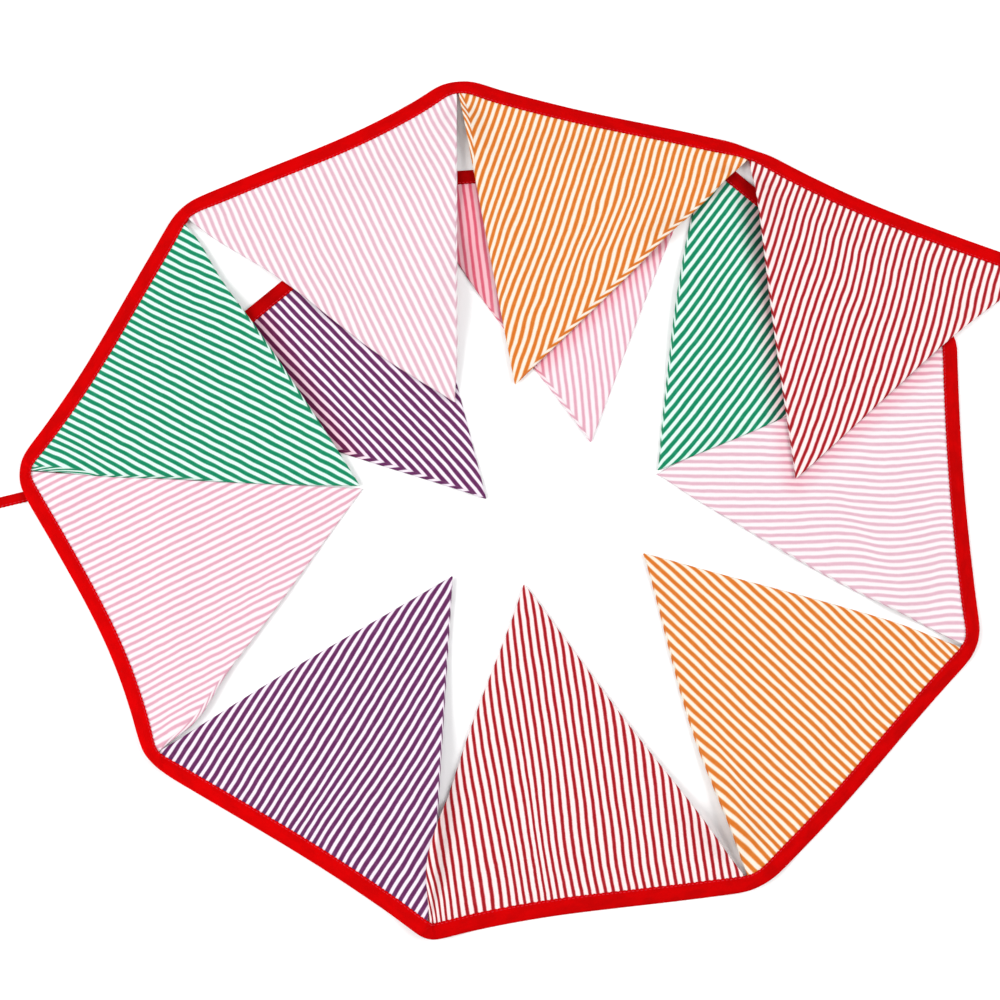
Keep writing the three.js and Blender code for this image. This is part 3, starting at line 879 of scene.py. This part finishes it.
class Finish:
    """A material and its nodes."""

    def __init__(self, name):
        self.material = bpy.data.materials.new(name)
        self.material.use_nodes = True
        self.tree = self.material.node_tree
        self.tree.nodes.clear()

    def node(self, kind, settings, *values, output=0, **named):
        node = self.tree.nodes.new(kind)
        for key, value in settings.items():
            setattr(node, key, value)
        slots = list(enumerate(values)) + list(named.items())
        for key, value in slots:
            socket = node.inputs[key.replace("_", " ")] if isinstance(key, str) else node.inputs[key]
            if isinstance(value, Wire):
                self.tree.links.new(value.socket, socket)
            elif value is not None:
                socket.default_value = value
        return Wire(self, node.outputs[output])

    def mixed(self, blend_type, share, first, second):
        """Two colours mixed; a Mix node's colours are its sockets 6 and 7, its result socket 2."""
        settings = {"data_type": "RGBA", "blend_type": blend_type}
        return self.node("ShaderNodeMix", settings, share, *[None] * 5, first, second, output=2)

    def blend(self, share, low, high):
        """A colour between low and high."""
        return self.mixed("MIX", share, low, high)

    def times(self, first, second):
        """Two colours multiplied, as when one dyed veil lies on another."""
        return self.mixed("MULTIPLY", 1.0, first, second)

    def attribute(self, name):
        return self.node("ShaderNodeAttribute", {"attribute_name": name}, output=2)

    def cloth(self, name):
        """A UV map's two directions, in millimetres."""
        place = self.node("ShaderNodeUVMap", {"uv_map": name})
        across = self.node("ShaderNodeSeparateXYZ", {}, place)
        down = Wire(self, across.socket.node.outputs[1])
        return across / MM, down / MM

    def noise(self, across, down, scale, detail=2.0):
        place = self.node("ShaderNodeCombineXYZ", {}, across, down)
        return self.node("ShaderNodeTexNoise", {}, Vector=place, Scale=scale, Detail=detail)

    def relief(self, height):
        """A bump from a height in millimetres."""
        return self.node("ShaderNodeBump", {}, Height=height, Distance=MM, Strength=1.0)

    def surface(self, **sockets):
        shader = self.node("ShaderNodeBsdfPrincipled", {}, **sockets)
        out = self.tree.nodes.new("ShaderNodeOutputMaterial")
        self.tree.links.new(shader.socket, out.inputs["Surface"])
        return self.material


# %% [markdown]
# ## Colours under the lamps
#
# A colour is easiest to choose as it looks on screen, 0 to 255. The lamps make white cloth
# brighter than the screen's white, so the cloth's own colour is worked back from the one that is
# wanted. A part past 255 is a cloth that comes out whiter than the screen can show.

# %% Colours under the lamps
LAMPS = 1.34  # how bright the lamps make a white card
PLAIN = (1.0, 1.0, 1.0, 1.0)  # multiplies a colour and leaves it as it is


def colour(red, green, blue):
    """The cloth colour that looks like this screen colour under the lamps."""
    parts = [part / 255 for part in (red, green, blue)]
    linear = [((p + 0.055) / 1.055) ** 2.4 if p > 0.04045 else p / 12.92 for p in parts]
    return (*(value / LAMPS for value in linear), 1.0)


print("a white card's colour", tuple(round(part, 2) for part in colour(255, 255, 255)))

# %% [markdown]
# ## Striped cotton
#
# The cloth is plain woven, white with a coloured stripe a little under half its pitch wide. The
# stripe's edge is drawn by single threads, so it is crisp but not quite straight, and white weft
# shows through its colour as fine specks. A picture of cloth could be wrapped on, but a drawn
# pattern stays sharp at any distance. Where a seam has rolled, the back layer's stripes are shown
# beyond it, with a thin painted shade along the seam. Beside the edges of the flags above, a warm
# shade is painted into the cloth beneath, deeper on its dye than on its ground.

# %% Striped cotton
THREAD = 0.42  # from one thread to the next
WEAVE_DEPTH = 0.05
SLUB_DEPTH = 0.03
SEAM_DEPTH = 0.12
# a thin painted shade along the seam, with a groove in the bump
SEAM_SHADE = 0.12
SEAM_LINE = (0.05, 0.5)  # how far from the seam its shade is full and gone
SEAM_SHADE_COLOUR = (150, 140, 142)
THREAD_STRAY = 0.05  # how far single threads stray at a stripe's edge, in pitches
COTTON = {"Roughness": 0.86, "Sheen_Weight": 0.02, "Specular_IOR_Level": 0.12}
# painted shade, warm and dark, beside the edges of the flags above: on the ground, and more on the
# dye
PAINTED_SHADE_ON_CLOTH = (0.96, 0.52, 0.57, 1.0)
PAINTED_SHADE_ON_DYE = (0.96, 0.4, 0.5, 1.0)

# stripe and ground colours, then how far from a stripe's middle its dye begins to thin out and
# where it ends, in pitches
STRIPES = {
    "red": ((168, 18, 27), (266, 249, 247), 0.095, 0.315),
    "orange": ((227, 121, 38), (261, 248, 234), 0.125, 0.365),
    "pale_pink": ((234, 188, 204), (259, 251, 253), 0.105, 0.355),
    "green": ((16, 138, 95), (238, 257, 250), 0.165, 0.345),
    "pink": ((235, 174, 193), (260, 248, 252), 0.09, 0.34),
    "purple": ((104, 42, 94), (256, 246, 256), 0.19, 0.35),
}


def weave(across, down):
    """A plain weave's relief, and where the weft lies on top."""
    crossing = (across * (math.pi / THREAD)).sine() * (down * (math.pi / THREAD)).sine()
    return crossing.absolute(), crossing.above(0.0)


def stripe_edge(finish, across, down, thins, ends):
    """0 in a stripe and 1 between two, ragged by single threads."""
    ragged = finish.noise(across * 0.15, down, 1.4) - 0.5
    from_centre = ((across / STRIPE_PITCH + 0.5).fraction() - 0.5).absolute()
    return (from_centre + ragged * THREAD_STRAY).soft_step(thins, ends)


def dyed(finish, ground, stripe, dye):
    """Three thin veils of dye, so that a stripe keeps its colour where it thins out."""
    veil = [(s / g) ** (1 / 3) for s, g in zip(stripe, ground)]
    thin = finish.blend(dye, PLAIN, veil)
    return finish.times(finish.times(thin, thin), finish.times(thin, ground))


def striped_cotton(name):
    stripe, ground, thins, ends = STRIPES[name]
    finish = Finish(f"cotton_{name}")
    front, down = finish.cloth("cloth")
    back, _ = finish.cloth("rolled")
    past_seam = finish.attribute("roll") / MM
    across = front + (back - front) * past_seam.above(0.0)
    relief, weft_over = weave(across, down)
    slub = finish.noise(across * 1.1, down * 0.06, 1.0)
    uneven = finish.noise(across * 0.5, down * 0.22, 1.0, 3.0)
    taken_up = (0.8 + 0.4 * uneven + 0.06 * (slub - 0.5)) * (1 - 0.03 * weft_over)
    dye = (1 - stripe_edge(finish, across, down, thins, ends)) * taken_up
    shade = dyed(finish, colour(*ground), colour(*stripe), dye)
    # painted shade: darker and warmer beside the flags above, deeper on the dye than on the ground
    painted_shade = finish.attribute("painted_shade")
    shade = finish.times(shade, finish.blend(painted_shade, PLAIN, PAINTED_SHADE_ON_CLOTH))
    shade = finish.times(shade, finish.blend(painted_shade * dye, PLAIN, PAINTED_SHADE_ON_DYE))
    # painted shade along the seam, and a groove in its bump
    seam = 1 - past_seam.absolute().soft_step(*SEAM_LINE)
    shade = finish.blend(seam * SEAM_SHADE, shade, colour(*SEAM_SHADE_COLOUR))
    bump = finish.relief(relief * WEAVE_DEPTH + slub * SLUB_DEPTH - seam * SEAM_DEPTH)
    return finish.surface(Base_Color=shade, Normal=bump, Sheen_Roughness=0.5, **COTTON)


cottons = {name: striped_cotton(name) for name in STRIPES}
print("cottons:", ", ".join(cottons))

# %% [markdown]
# ## The twelve flags
#
# With the shape, the net and the finish in hand, the flags are made in one loop. Copies of one
# flag would be less work, but no two lie alike. Each takes the place of its solid. The lower flags
# also carry how much warm painted shade each point takes beside the flags above.

# %% The twelve flags
# flag number: (how much painted shade, beside which flags, near how many of them, how far off)
PAINTED_SHADES = {
    9: ((0.35, (1,), 1, 14),),
    10: ((1.0, (1,), 1, 18), (0.5, (2,), 1, 12)),
    11: ((1.0, (2, 3), 2, 60), (0.6, (2,), 1, 14)),
    12: ((0.6, (4,), 1, 18),),
}


def painted_shade_beside(p, above, flags_near, reach):
    """1 beside the edges of flags above, where shade is painted on the cloth beneath."""
    away = [outline_distance(p, flags[number - 1]["outline"]) for number in above]
    return ease(1 - np.sort(away, axis=0)[flags_near - 1] / reach)


def flag_painted_shade(flag, p):
    painted_shade = np.zeros(len(p))
    for share, *where in PAINTED_SHADES.get(flag["number"], ()):
        painted_shade = np.maximum(painted_shade, share * painted_shade_beside(p, *where))
    return painted_shade


def make_flag(flag):
    points, faces, front, back, shows = build_flag(flag)
    name, cotton = numbered(flag["index"]), cottons[flag["colour"]]
    piece = new_piece(f"pennant_{name}", points, faces.tolist(), cotton)
    corners = faces.ravel()
    add_uv(piece.data, "cloth", front[corners])
    add_uv(piece.data, "rolled", back[corners])
    add_values(piece.data, "roll", shows * MM)
    add_values(piece.data, "painted_shade", flag_painted_shade(flag, points[:, :2]))
    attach(piece, "root")
    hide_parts(f"flag_{name}")
    return piece


pennants = [make_flag(flag) for flag in flags]
print("flags:", len(pennants), "of", len(pennants[0].data.polygons), "faces")

# %% [markdown]
# ## The tape's section
#
# Bias tape is one strip, folded in half over the flags' raw edges, with its own edges pressed
# inside. Its section is walked round once as a list of points, from the lower lip into the slot,
# out over the upper lip, across the top, round the fold and back underneath. Along the ties the
# slot closes to a groove between the two stitched edges. A curve's bevel could only sweep one
# section, so the section is worked out afresh at every station along the path.

# %% The tape's section
STITCH_PITCH = 2.6  # from one stitch to the next
STITCH_IN = 1.0  # from the tape's inner edge to its stitching
STITCH_DENT = 0.22  # how far the stitching pulls the tape's top down
DENT_RUN = 0.8
TAPE_CROWN = 0.4  # how far the tape's top puffs up between its fold and its stitching
FOLD_DEPTH = 1.2  # from the outside of the fold to the end of the slot
FOLD_ROUND = 0.9
TOP_FROM = 0.6  # the share of the section's height above which it counts as its top
TOP_RUN = 0.3
TIE_GROOVE = (0.8, 0.3)  # depth and height between a tie's two edges


def arc(centre, radius, first, last, count):
    turn = np.radians(np.linspace(first, last, count + 1))
    return np.c_[centre[0] + radius[0] * np.cos(turn), centre[1] + radius[1] * np.sin(turn)]


def run(a, b, count):
    """Points from a to b, both left out."""
    f = np.linspace(0, 1, count + 1)[1:-1, None]
    return np.array(a) + f * (np.array(b) - np.array(a))


def tape_section(width, height, slot_from, slot):
    wall = (height - slot) / 2
    lip = wall / 2
    fold = min(FOLD_ROUND, height / 2)
    lower = arc((width - lip, lip), (lip, lip), -90, 90, 4)
    upper = arc((width - lip, height - lip), (lip, lip), -90, 90, 4)
    bend = arc((fold, height / 2), (fold, height / 2), 90, 270, 6)
    return np.concatenate([
        lower, run(lower[-1], (slot_from, wall), 3), [(slot_from, wall)],
        [(slot_from, height - wall)], run((slot_from, height - wall), upper[0], 3),
        upper, run(upper[-1], bend[0], 8), bend, run(bend[-1], lower[0], 6),
    ])


def section_at(s):
    """The section at s along the tape, and which of its points are on top."""
    past = max(FLAGS_FROM - s, s - FLAGS_TO, 0)
    tie = float(ease(past / TIE_TAPER))
    width = mix(TAPE_WIDTH, TIE_WIDTH, tie)
    height = mix(TAPE_HEIGHT, TIE_HEIGHT, tie)
    slot_from = width - mix(TAPE_WIDTH - FOLD_DEPTH, TIE_GROOVE[0], tie)
    slot = mix(FLAG_THICKNESS + 2 * TAPE_PLAY, TIE_GROOVE[1], tie)
    section = tape_section(width, height, slot_from, slot)
    upper = ease((section[:, 1] / height - TOP_FROM) / TOP_RUN)
    dent = np.exp(-(((section[:, 0] - width + STITCH_IN) / DENT_RUN) ** 2))
    crown = np.sin(np.pi * np.clip(section[:, 0] / (width - STITCH_IN), 0, 1))
    section[:, 1] += (TAPE_CROWN * crown - STITCH_DENT * dent) * upper
    return section, upper


print("points round the tape:", len(section_at(FLAGS_FROM)[0]))

# %% [markdown]
# ## The tape's creases and spread
#
# Pressed tape is stiff. At a corner it buckles into a few small creases across itself, and from
# flag to flag it is folded a little wider or narrower. Its stitches draw the edge in, one by one.
# A few rows place the creases and widths, and a cosine at the stitch pitch makes the scallops.

# %% The tape's creases and spread
SCALLOP = 0.2  # how deep a stitch draws the edge in
SCALLOP_RUN = 1.6  # how far in from the edge the scallops are felt
TAPE_RUMPLE = (0.1, 30, 7)  # how high, how long and the seed
CREASE_FROM = 3.0  # how far in from the outer fold a crease reaches its full height

# flag number: (from its end corner along the tape, slant across it, half width, rise)
TAPE_CREASES = {
    1: ((-6, 0.6, 3.0, 0.5), (9, -0.5, 2.5, 0.4)),
    2: ((-8, -0.4, 3.0, 0.5), (6, 0.8, 2.2, 0.5)),
    3: ((0, 0.3, 3.5, 0.5), (12, -0.6, 2.5, 0.3)),
    4: ((-7, 0.7, 1.6, 0.9), (-1, 0.2, 1.3, 0.7), (7, -0.7, 1.8, 0.7)),
    5: ((-3, 0.5, 1.5, 0.9), (6, -0.8, 1.4, 0.8)),
    6: ((-3, 0.9, 1.3, 1.2), (2, -0.5, 1.4, 1.0), (7, -0.9, 1.8, 0.6)),
    7: ((-10, 0.4, 3.0, 0.4), (8, -0.5, 2.5, 0.4)),
    8: ((0, 0.5, 2.5, 0.4),),
}

# flag number: how far the tape spreads outward and inward of its solid along that flag
TAPE_SPREAD = {
    1: (-0.3, 0.9), 2: (-0.1, 0.6), 3: (-0.3, 1.2), 4: (0.2, 0.4), 5: (0.8, -0.9),
    6: (0.6, 0.0), 7: (1.0, -0.3), 8: (0.5, 0.0), 9: (0.0, 0.4),
}


def along_flags(s, values):
    """A value for each place s along the tape, given at the middle of the first flags."""
    middles = [flag["from"] + flag["width"] / 2 for flag in flags]
    return np.interp(s, middles[:len(values)], values)


def spread(s, inward, width):
    """A point of the section, moved as the tape spreads there, and drawn in by its stitches."""
    outer, inner = (along_flags(s, side) for side in zip(*TAPE_SPREAD.values()))
    edge = ease((inward - width + SCALLOP_RUN) / SCALLOP_RUN)
    scallop = SCALLOP * (edge * np.cos(2 * np.pi * s / STITCH_PITCH))
    return inward + mix(pinch(s) - outer, inner, inward / width) - scallop


def tape_relief(s, inward):
    """How far creases and a fine rumple raise the tape's top."""
    most, length, seed = TAPE_RUMPLE
    rise = np.zeros_like(inward)
    for number, rows in TAPE_CREASES.items():
        for off, slant, half_width, height in rows:
            away = s - flags[number - 1]["to"] - off - slant * (inward - TAPE_WIDTH / 2)
            rise += height * np.exp(-((away / half_width) ** 2)) * ease(inward / CREASE_FROM)
    return rise + most * rumple(s, inward, length, seed)


print("creases:", sum(len(rows) for rows in TAPE_CREASES.values()))

# %% [markdown]
# ## The tape's finish
#
# The tape is plain red cotton, cut on the bias, so its weave runs at 45 degrees to its length.
# Its red is painted lighter along some flags and darker along others, as the light falls on them,
# and an attribute carries that painted light along the tape; two noises add slubs and patches of
# uneven dye. Where the tape runs beneath the first flags, painted shade darkens its red.

# %% The tape's finish
BINDING = {"Roughness": 0.8, "Sheen_Weight": 0.0, "Specular_IOR_Level": 0.02}
DARK_RED = (184, 2, 3)
LIGHT_RED = (236, 0, 3)
WEFT_RED = (232, 4, 6)
# painted shade on the tape where it runs beneath the first flags
PAINTED_SHADE_ON_RED = (0.6, 0.6, 1.0, 1.0)


def red_tape():
    finish = Finish("binding_red")
    along, round_about = finish.cloth("cloth")
    half = math.sqrt(0.5)
    relief, weft_over = weave((along + round_about) * half, (along - round_about) * half)
    slub = finish.noise(along * 0.5, round_about * 0.5, 1.0)
    patch = finish.noise(along * 0.07, round_about * 0.16, 1.0).soft_step(0.35, 0.65)
    # partly uneven dye (slub, patch), partly painted light: the attribute makes the red lighter
    # along some flags
    light = slub * 0.25 + patch * 0.3 + finish.attribute("painted_leg_light") * 0.45
    shade = finish.blend(light, colour(*DARK_RED), colour(*LIGHT_RED))
    shade = finish.blend(weft_over * 0.08, shade, colour(*WEFT_RED))
    # painted shade where the tape runs beneath the first flags
    shade = finish.times(shade, finish.blend(finish.attribute("painted_shade"), PLAIN, PAINTED_SHADE_ON_RED))
    bump = finish.relief(relief * 0.05 + slub * 0.05)
    return finish.surface(Base_Color=shade, Normal=bump, Sheen_Roughness=0.5, **BINDING)


binding_red = red_tape()
print("finish:", binding_red.name)

# %% [markdown]
# ## The folded tape
#
# The sections are set side by side along the path and joined by rings of quads, with one face to
# close each end. The tape's own UV map unrolls it: one direction runs along the tape and the
# other round its section.

# %% The folded tape
TAPE_STEP = STITCH_PITCH / 2  # so that the edge can dip at each stitch
# how far from the upper flags' edges shade is painted on the tape beneath
TAPE_SHADE_REACH = 42  # how far from the upper flags' edges light gets at the tape beneath
TAPE_SHADE_TOP = 3  # the tape that lies lower than this is the tape beneath
TAPE_SHADERS = (1, 2, 3, 4)  # the flags that lie over it

# flag number: painted light on the tape's red along that flag, 0 darkest to 1 lightest
TAPE_PAINTED_LIGHT = {1: 0.45, 2: 0.2, 3: 0.75, 4: 0.4, 5: 1.0, 6: 0.85, 7: 0.25, 8: 0.2, 9: 0.0}


def tape_ring(s):
    """The points of one section in place, and each one's distance round it."""
    section, upper = section_at(s)
    place = np.full(len(section), s)
    up = section[:, 1] + tape_lift(s) + tape_relief(place, section[:, 0]) * upper
    inward = spread(s, section[:, 0], section[:, 0].max())
    sides = np.linalg.norm(np.roll(section, -1, axis=0) - section, axis=1)
    return np.c_[tape_at(place, inward), up], np.append(0, np.cumsum(sides))


def build_tape():
    stations = np.append(np.arange(0, TAPE_LENGTH, TAPE_STEP), TAPE_LENGTH)
    rings, arcs = zip(*(tape_ring(s) for s in stations))
    around = len(rings[0])
    i = np.arange(around)
    after = (i + 1) % around
    faces, corners = [], []
    for r in range(1, len(rings)):
        low, high = (r - 1) * around, r * around
        faces.append(np.stack([low + i, low + after, high + after, high + i], axis=1))
        edges = [(r - 1, i), (r - 1, i + 1), (r, i + 1), (r, i)]
        uv = [np.c_[np.full(around, stations[k]), arcs[k][j]] for k, j in edges]
        corners.append(np.stack(uv, axis=1).reshape(-1, 2))
    return np.concatenate(rings), np.concatenate(faces), np.concatenate(corners), around


def tape_painted_shade(points, place):
    """1 where the tape beneath is near two of the upper flags' edges, where shade is painted on it.
    """
    painted_shade = painted_shade_beside(points[:, :2], TAPE_SHADERS, 2, TAPE_SHADE_REACH)
    return painted_shade * (place > LOWER_TAPE_FROM) * (points[:, 2] < TAPE_SHADE_TOP)


def make_tape():
    points, faces, corners, around = build_tape()
    ends = [list(range(around))[::-1], list(range(len(points) - around, len(points)))]
    piece = new_piece("red_tape", points, faces.tolist() + ends, binding_red)
    end_corners = [(0.0, points[i, 2]) for end in ends for i in end]
    add_uv(piece.data, "cloth", np.concatenate([corners, end_corners]))
    place = np.arange(len(points)) // around * TAPE_STEP
    add_values(piece.data, "painted_shade", tape_painted_shade(points, place))
    add_values(piece.data, "painted_leg_light", along_flags(place, list(TAPE_PAINTED_LIGHT.values())))
    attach(piece, "root")
    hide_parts("binding_tape")
    return piece


tape = make_tape()
print("tape:", len(tape.data.polygons), "faces")

# %% [markdown]
# ## Stitching
#
# One seam of lock stitch holds the tape to the flags, close to its inner edge, and shows above
# and below. Stitches are what Geometry Nodes are good at: a line is sampled at the stitch pitch
# and a small bead of thread is stretched along it at each point. The tree has named inputs for
# its sizes, and a seed that makes each stitch a little longer or shorter.

# %% Stitching
STITCH_UNEVEN = (0.88, 1.06)  # the smallest and largest, of the usual size
BEAD = {"Segments": 6, "Rings": 4, "Radius": 0.5}


def stitch_tree():
    """The tree's inputs and output."""
    tree = bpy.data.node_groups.new("run_of_stitches", "GeometryNodeTree")
    sides = tree.interface
    sides.new_socket("Seam line", in_out="INPUT", socket_type="NodeSocketGeometry")
    for name in ("Pitch", "Length", "Thread"):
        sides.new_socket(name, in_out="INPUT", socket_type="NodeSocketFloat")
    sides.new_socket("Seed", in_out="INPUT", socket_type="NodeSocketInt")
    sides.new_socket("Finish", in_out="INPUT", socket_type="NodeSocketMaterial")
    sides.new_socket("Stitches", in_out="OUTPUT", socket_type="NodeSocketGeometry")
    return tree


def wire_stitches(tree):
    """The tree's nodes and links, from a line of points to a run of stitches."""
    join = tree.links.new

    def add(kind, **settings):
        node = tree.nodes.new(kind)
        for key, value in settings.items():
            setattr(node, key, value)
        return node

    given = add("NodeGroupInput")
    result = add("NodeGroupOutput")
    curve = add("GeometryNodeMeshToCurve")
    spaced = add("GeometryNodeResampleCurve", mode="LENGTH")
    tangent = add("GeometryNodeInputTangent")
    aligned = add("FunctionNodeAlignRotationToVector", axis="X")
    thread = add("GeometryNodeMeshUVSphere")
    for key, value in BEAD.items():
        thread.inputs[key].default_value = value
    size = add("ShaderNodeCombineXYZ")
    shaped = add("GeometryNodeTransform")
    placed = add("GeometryNodeInstanceOnPoints")
    uneven = add("FunctionNodeRandomValue", data_type="FLOAT")
    for socket, value in zip(uneven.inputs[2:4], STITCH_UNEVEN):
        socket.default_value = value
    real = add("GeometryNodeRealizeInstances")
    smooth = add("GeometryNodeSetShadeSmooth")
    painted = add("GeometryNodeSetMaterial")
    join(given.outputs["Seam line"], curve.inputs["Mesh"])
    join(curve.outputs["Curve"], spaced.inputs["Curve"])
    join(given.outputs["Pitch"], spaced.inputs["Length"])
    join(tangent.outputs["Tangent"], aligned.inputs["Vector"])
    join(given.outputs["Length"], size.inputs[0])
    join(given.outputs["Thread"], size.inputs[1])
    join(given.outputs["Thread"], size.inputs[2])
    join(thread.outputs["Mesh"], shaped.inputs["Geometry"])
    join(size.outputs[0], shaped.inputs["Scale"])
    join(spaced.outputs["Curve"], placed.inputs["Points"])
    join(shaped.outputs["Geometry"], placed.inputs["Instance"])
    join(aligned.outputs["Rotation"], placed.inputs["Rotation"])
    join(given.outputs["Seed"], uneven.inputs["Seed"])
    join(uneven.outputs[1], placed.inputs["Scale"])
    join(placed.outputs["Instances"], real.inputs["Geometry"])
    join(real.outputs["Geometry"], smooth.inputs["Geometry"])
    join(smooth.outputs["Geometry"], painted.inputs["Geometry"])
    join(given.outputs["Finish"], painted.inputs["Material"])
    join(painted.outputs["Geometry"], result.inputs["Stitches"])
    return tree


stitches = wire_stitches(stitch_tree())
print("stitch tree:", len(stitches.nodes), "nodes")

# %% [markdown]
# ## The two runs of stitches
#
# Each run's line is worked out from the tape, so that it follows every crease and scallop. The
# thread is a brighter red than the tape, with a fine noise for its ply. The modifier's result is
# turned into a plain mesh, because a modifier is not kept with a finished piece.

# %% The two runs of stitches
STITCH_LENGTH = 2.0
STITCH_THREAD = 0.5
THREAD_SURFACE = {"Roughness": 0.5, "Sheen_Weight": 0.1, "Specular_IOR_Level": 0.12}
THREAD_DARK = (206, 0, 26)
THREAD_LIGHT = (246, 36, 66)
OFF_TOP = -0.16  # the upper run is sunk into the tape's top
OFF_UNDERSIDE = 0.27  # the lower run is sunk into its underside, clear of the table
LINE_FROM = 1.5  # from the tie's end to the first stitch
PLY_SCALE = 2500.0
PLY_DEPTH = 0.06


def thread_finish():
    finish = Finish("sewing_thread")
    place = finish.node("ShaderNodeTexCoord", {}, output=3)
    ply = finish.node("ShaderNodeTexNoise", {}, Vector=place, Scale=PLY_SCALE, Detail=1.0)
    shade = finish.blend(ply, colour(*THREAD_DARK), colour(*THREAD_LIGHT))
    bump = finish.relief(ply * PLY_DEPTH)
    return finish.surface(Base_Color=shade, Normal=bump, Sheen_Roughness=0.5, **THREAD_SURFACE)


def stitch_line(up_from_tape, top):
    """A line of points along the stitching, on the tape's upper or lower side."""
    s = np.arange(LINE_FROM, TAPE_LENGTH - 1, 1.0)
    past = np.maximum.reduce([FLAGS_FROM - s, s - FLAGS_TO, np.zeros_like(s)])
    tie = ease(past / TIE_TAPER)
    inward = mix(TAPE_WIDTH, TIE_WIDTH, tie) - STITCH_IN
    up = tape_lift(s) + up_from_tape
    if top:
        up += mix(TAPE_HEIGHT, TIE_HEIGHT, tie) + tape_relief(s, inward)
    return np.c_[tape_at(s, spread(s, inward, inward + STITCH_IN)), up]


def seam_line(name, points):
    mesh = bpy.data.meshes.new(name)
    edges = [(i - 1, i) for i in range(1, len(points))]
    mesh.from_pydata((points * MM).tolist(), edges, [])
    line = bpy.data.objects.new(name + "_line", mesh)
    bpy.context.scene.collection.objects.link(line)
    return line


def make_stitches(name, up_from_tape, top, seed):
    line = seam_line(name, stitch_line(up_from_tape, top))
    modifier = line.modifiers.new("stitches", "NODES")
    modifier.node_group = stitches
    given = {
        "Pitch": STITCH_PITCH * MM, "Length": STITCH_LENGTH * MM,
        "Thread": STITCH_THREAD * MM, "Seed": seed, "Finish": thread_red,
    }
    for item in stitches.interface.items_tree:
        if item.in_out == "INPUT" and item.name in given:
            modifier[item.identifier] = given[item.name]
    evaluated = line.evaluated_get(bpy.context.evaluated_depsgraph_get())
    plain = bpy.data.meshes.new_from_object(evaluated)
    plain.name = name
    bpy.data.objects.remove(line)
    piece = bpy.data.objects.new(name, plain)
    bpy.context.scene.collection.objects.link(piece)
    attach(piece, "root")
    return piece


thread_red = thread_finish()
upper_stitches = make_stitches("stitching_upper", OFF_TOP, True, 3)
lower_stitches = make_stitches("stitching_lower", OFF_UNDERSIDE, False, 4)
print("stitch faces:", len(upper_stitches.data.polygons), len(lower_stitches.data.polygons))

# %% [markdown]
# ## The cloth's flat sizes, and what lies beneath each flag
#
# Each flag was cut 200 mm wide and 195 mm deep. The tape is one strip, 3.21 m long and 40 mm
# wide as cut; pressed with its raw edges inside, it is a 20 mm strip that is then folded over.
# For each flag, the loop below looks up the names of the flags that it lies on.

# %% The cloth's flat sizes, and what lies beneath each flag
LIES_ON = {1: (9, 10), 2: (10, 11), 3: (11, 12), 4: (12,)}  # flag number: flags beneath it

for flag, piece in zip(flags, pennants):
    beneath = [pennants[n - 1].name for n in LIES_ON.get(flag["number"], ())]
print("sheets:", len(pennants) + 1)

# %% [markdown]
# ## Floor and light
#
# The bunting lies on a plain white table under large soft lights: one low on each side, which
# give the lifted edges their faint shadows, a weaker one overhead, and a white surround. Smaller
# lamps would draw the shadows harder than such thin cloth casts them.

# %% Floor and light
FLOOR_SIZE = 6.0
FLOOR_DROP = 0.0001
TABLE = {"Base_Color": (0.93, 0.93, 0.93, 1.0), "Roughness": 0.8, "Specular_IOR_Level": 0.1}
SURROUND = 0.31

# name: (place, aim, size, power)
SOFTBOXES = {
    "left": ((-1.75, -0.35, 1.45), (-0.05, 0, 0), 1.5, 45),
    "right": ((1.75, 0.4, 1.5), (0.05, 0, 0), 1.5, 39),
    "overhead": ((0.0, 0.0, 2.6), (0, 0, 0), 1.8, 13),
}


def make_floor():
    half = FLOOR_SIZE / 2
    mesh = bpy.data.meshes.new("table_top")
    corners = [(-half, -half), (half, -half), (half, half), (-half, half)]
    mesh.from_pydata([(x, y, -FLOOR_DROP) for x, y in corners], [], [(0, 1, 2, 3)])
    mesh.materials.append(Finish("white_table").surface(**TABLE))
    floor = bpy.data.objects.new("table_top", mesh)
    bpy.context.scene.collection.objects.link(floor)


def softbox(name, place, aim, size, power):
    data = bpy.data.lights.new(name, "AREA")
    data.shape = "DISK"
    data.size = size
    data.energy = power
    light = bpy.data.objects.new(name, data)
    light.rotation_euler = (Vector(place) - Vector(aim)).to_track_quat("Z", "Y").to_euler()
    light.location = place
    bpy.context.scene.collection.objects.link(light)


def surround(strength):
    world = bpy.data.worlds.new("white_surround")
    world.use_nodes = True
    world.node_tree.nodes["Background"].inputs["Color"].default_value = (1, 1, 1, 1)
    world.node_tree.nodes["Background"].inputs["Strength"].default_value = strength
    bpy.context.scene.world = world


make_floor()
for name, settings in SOFTBOXES.items():
    softbox(name, *settings)
surround(SURROUND)
bpy.context.scene.view_settings.view_transform = "Standard"
print("lamps:", ", ".join(SOFTBOXES))
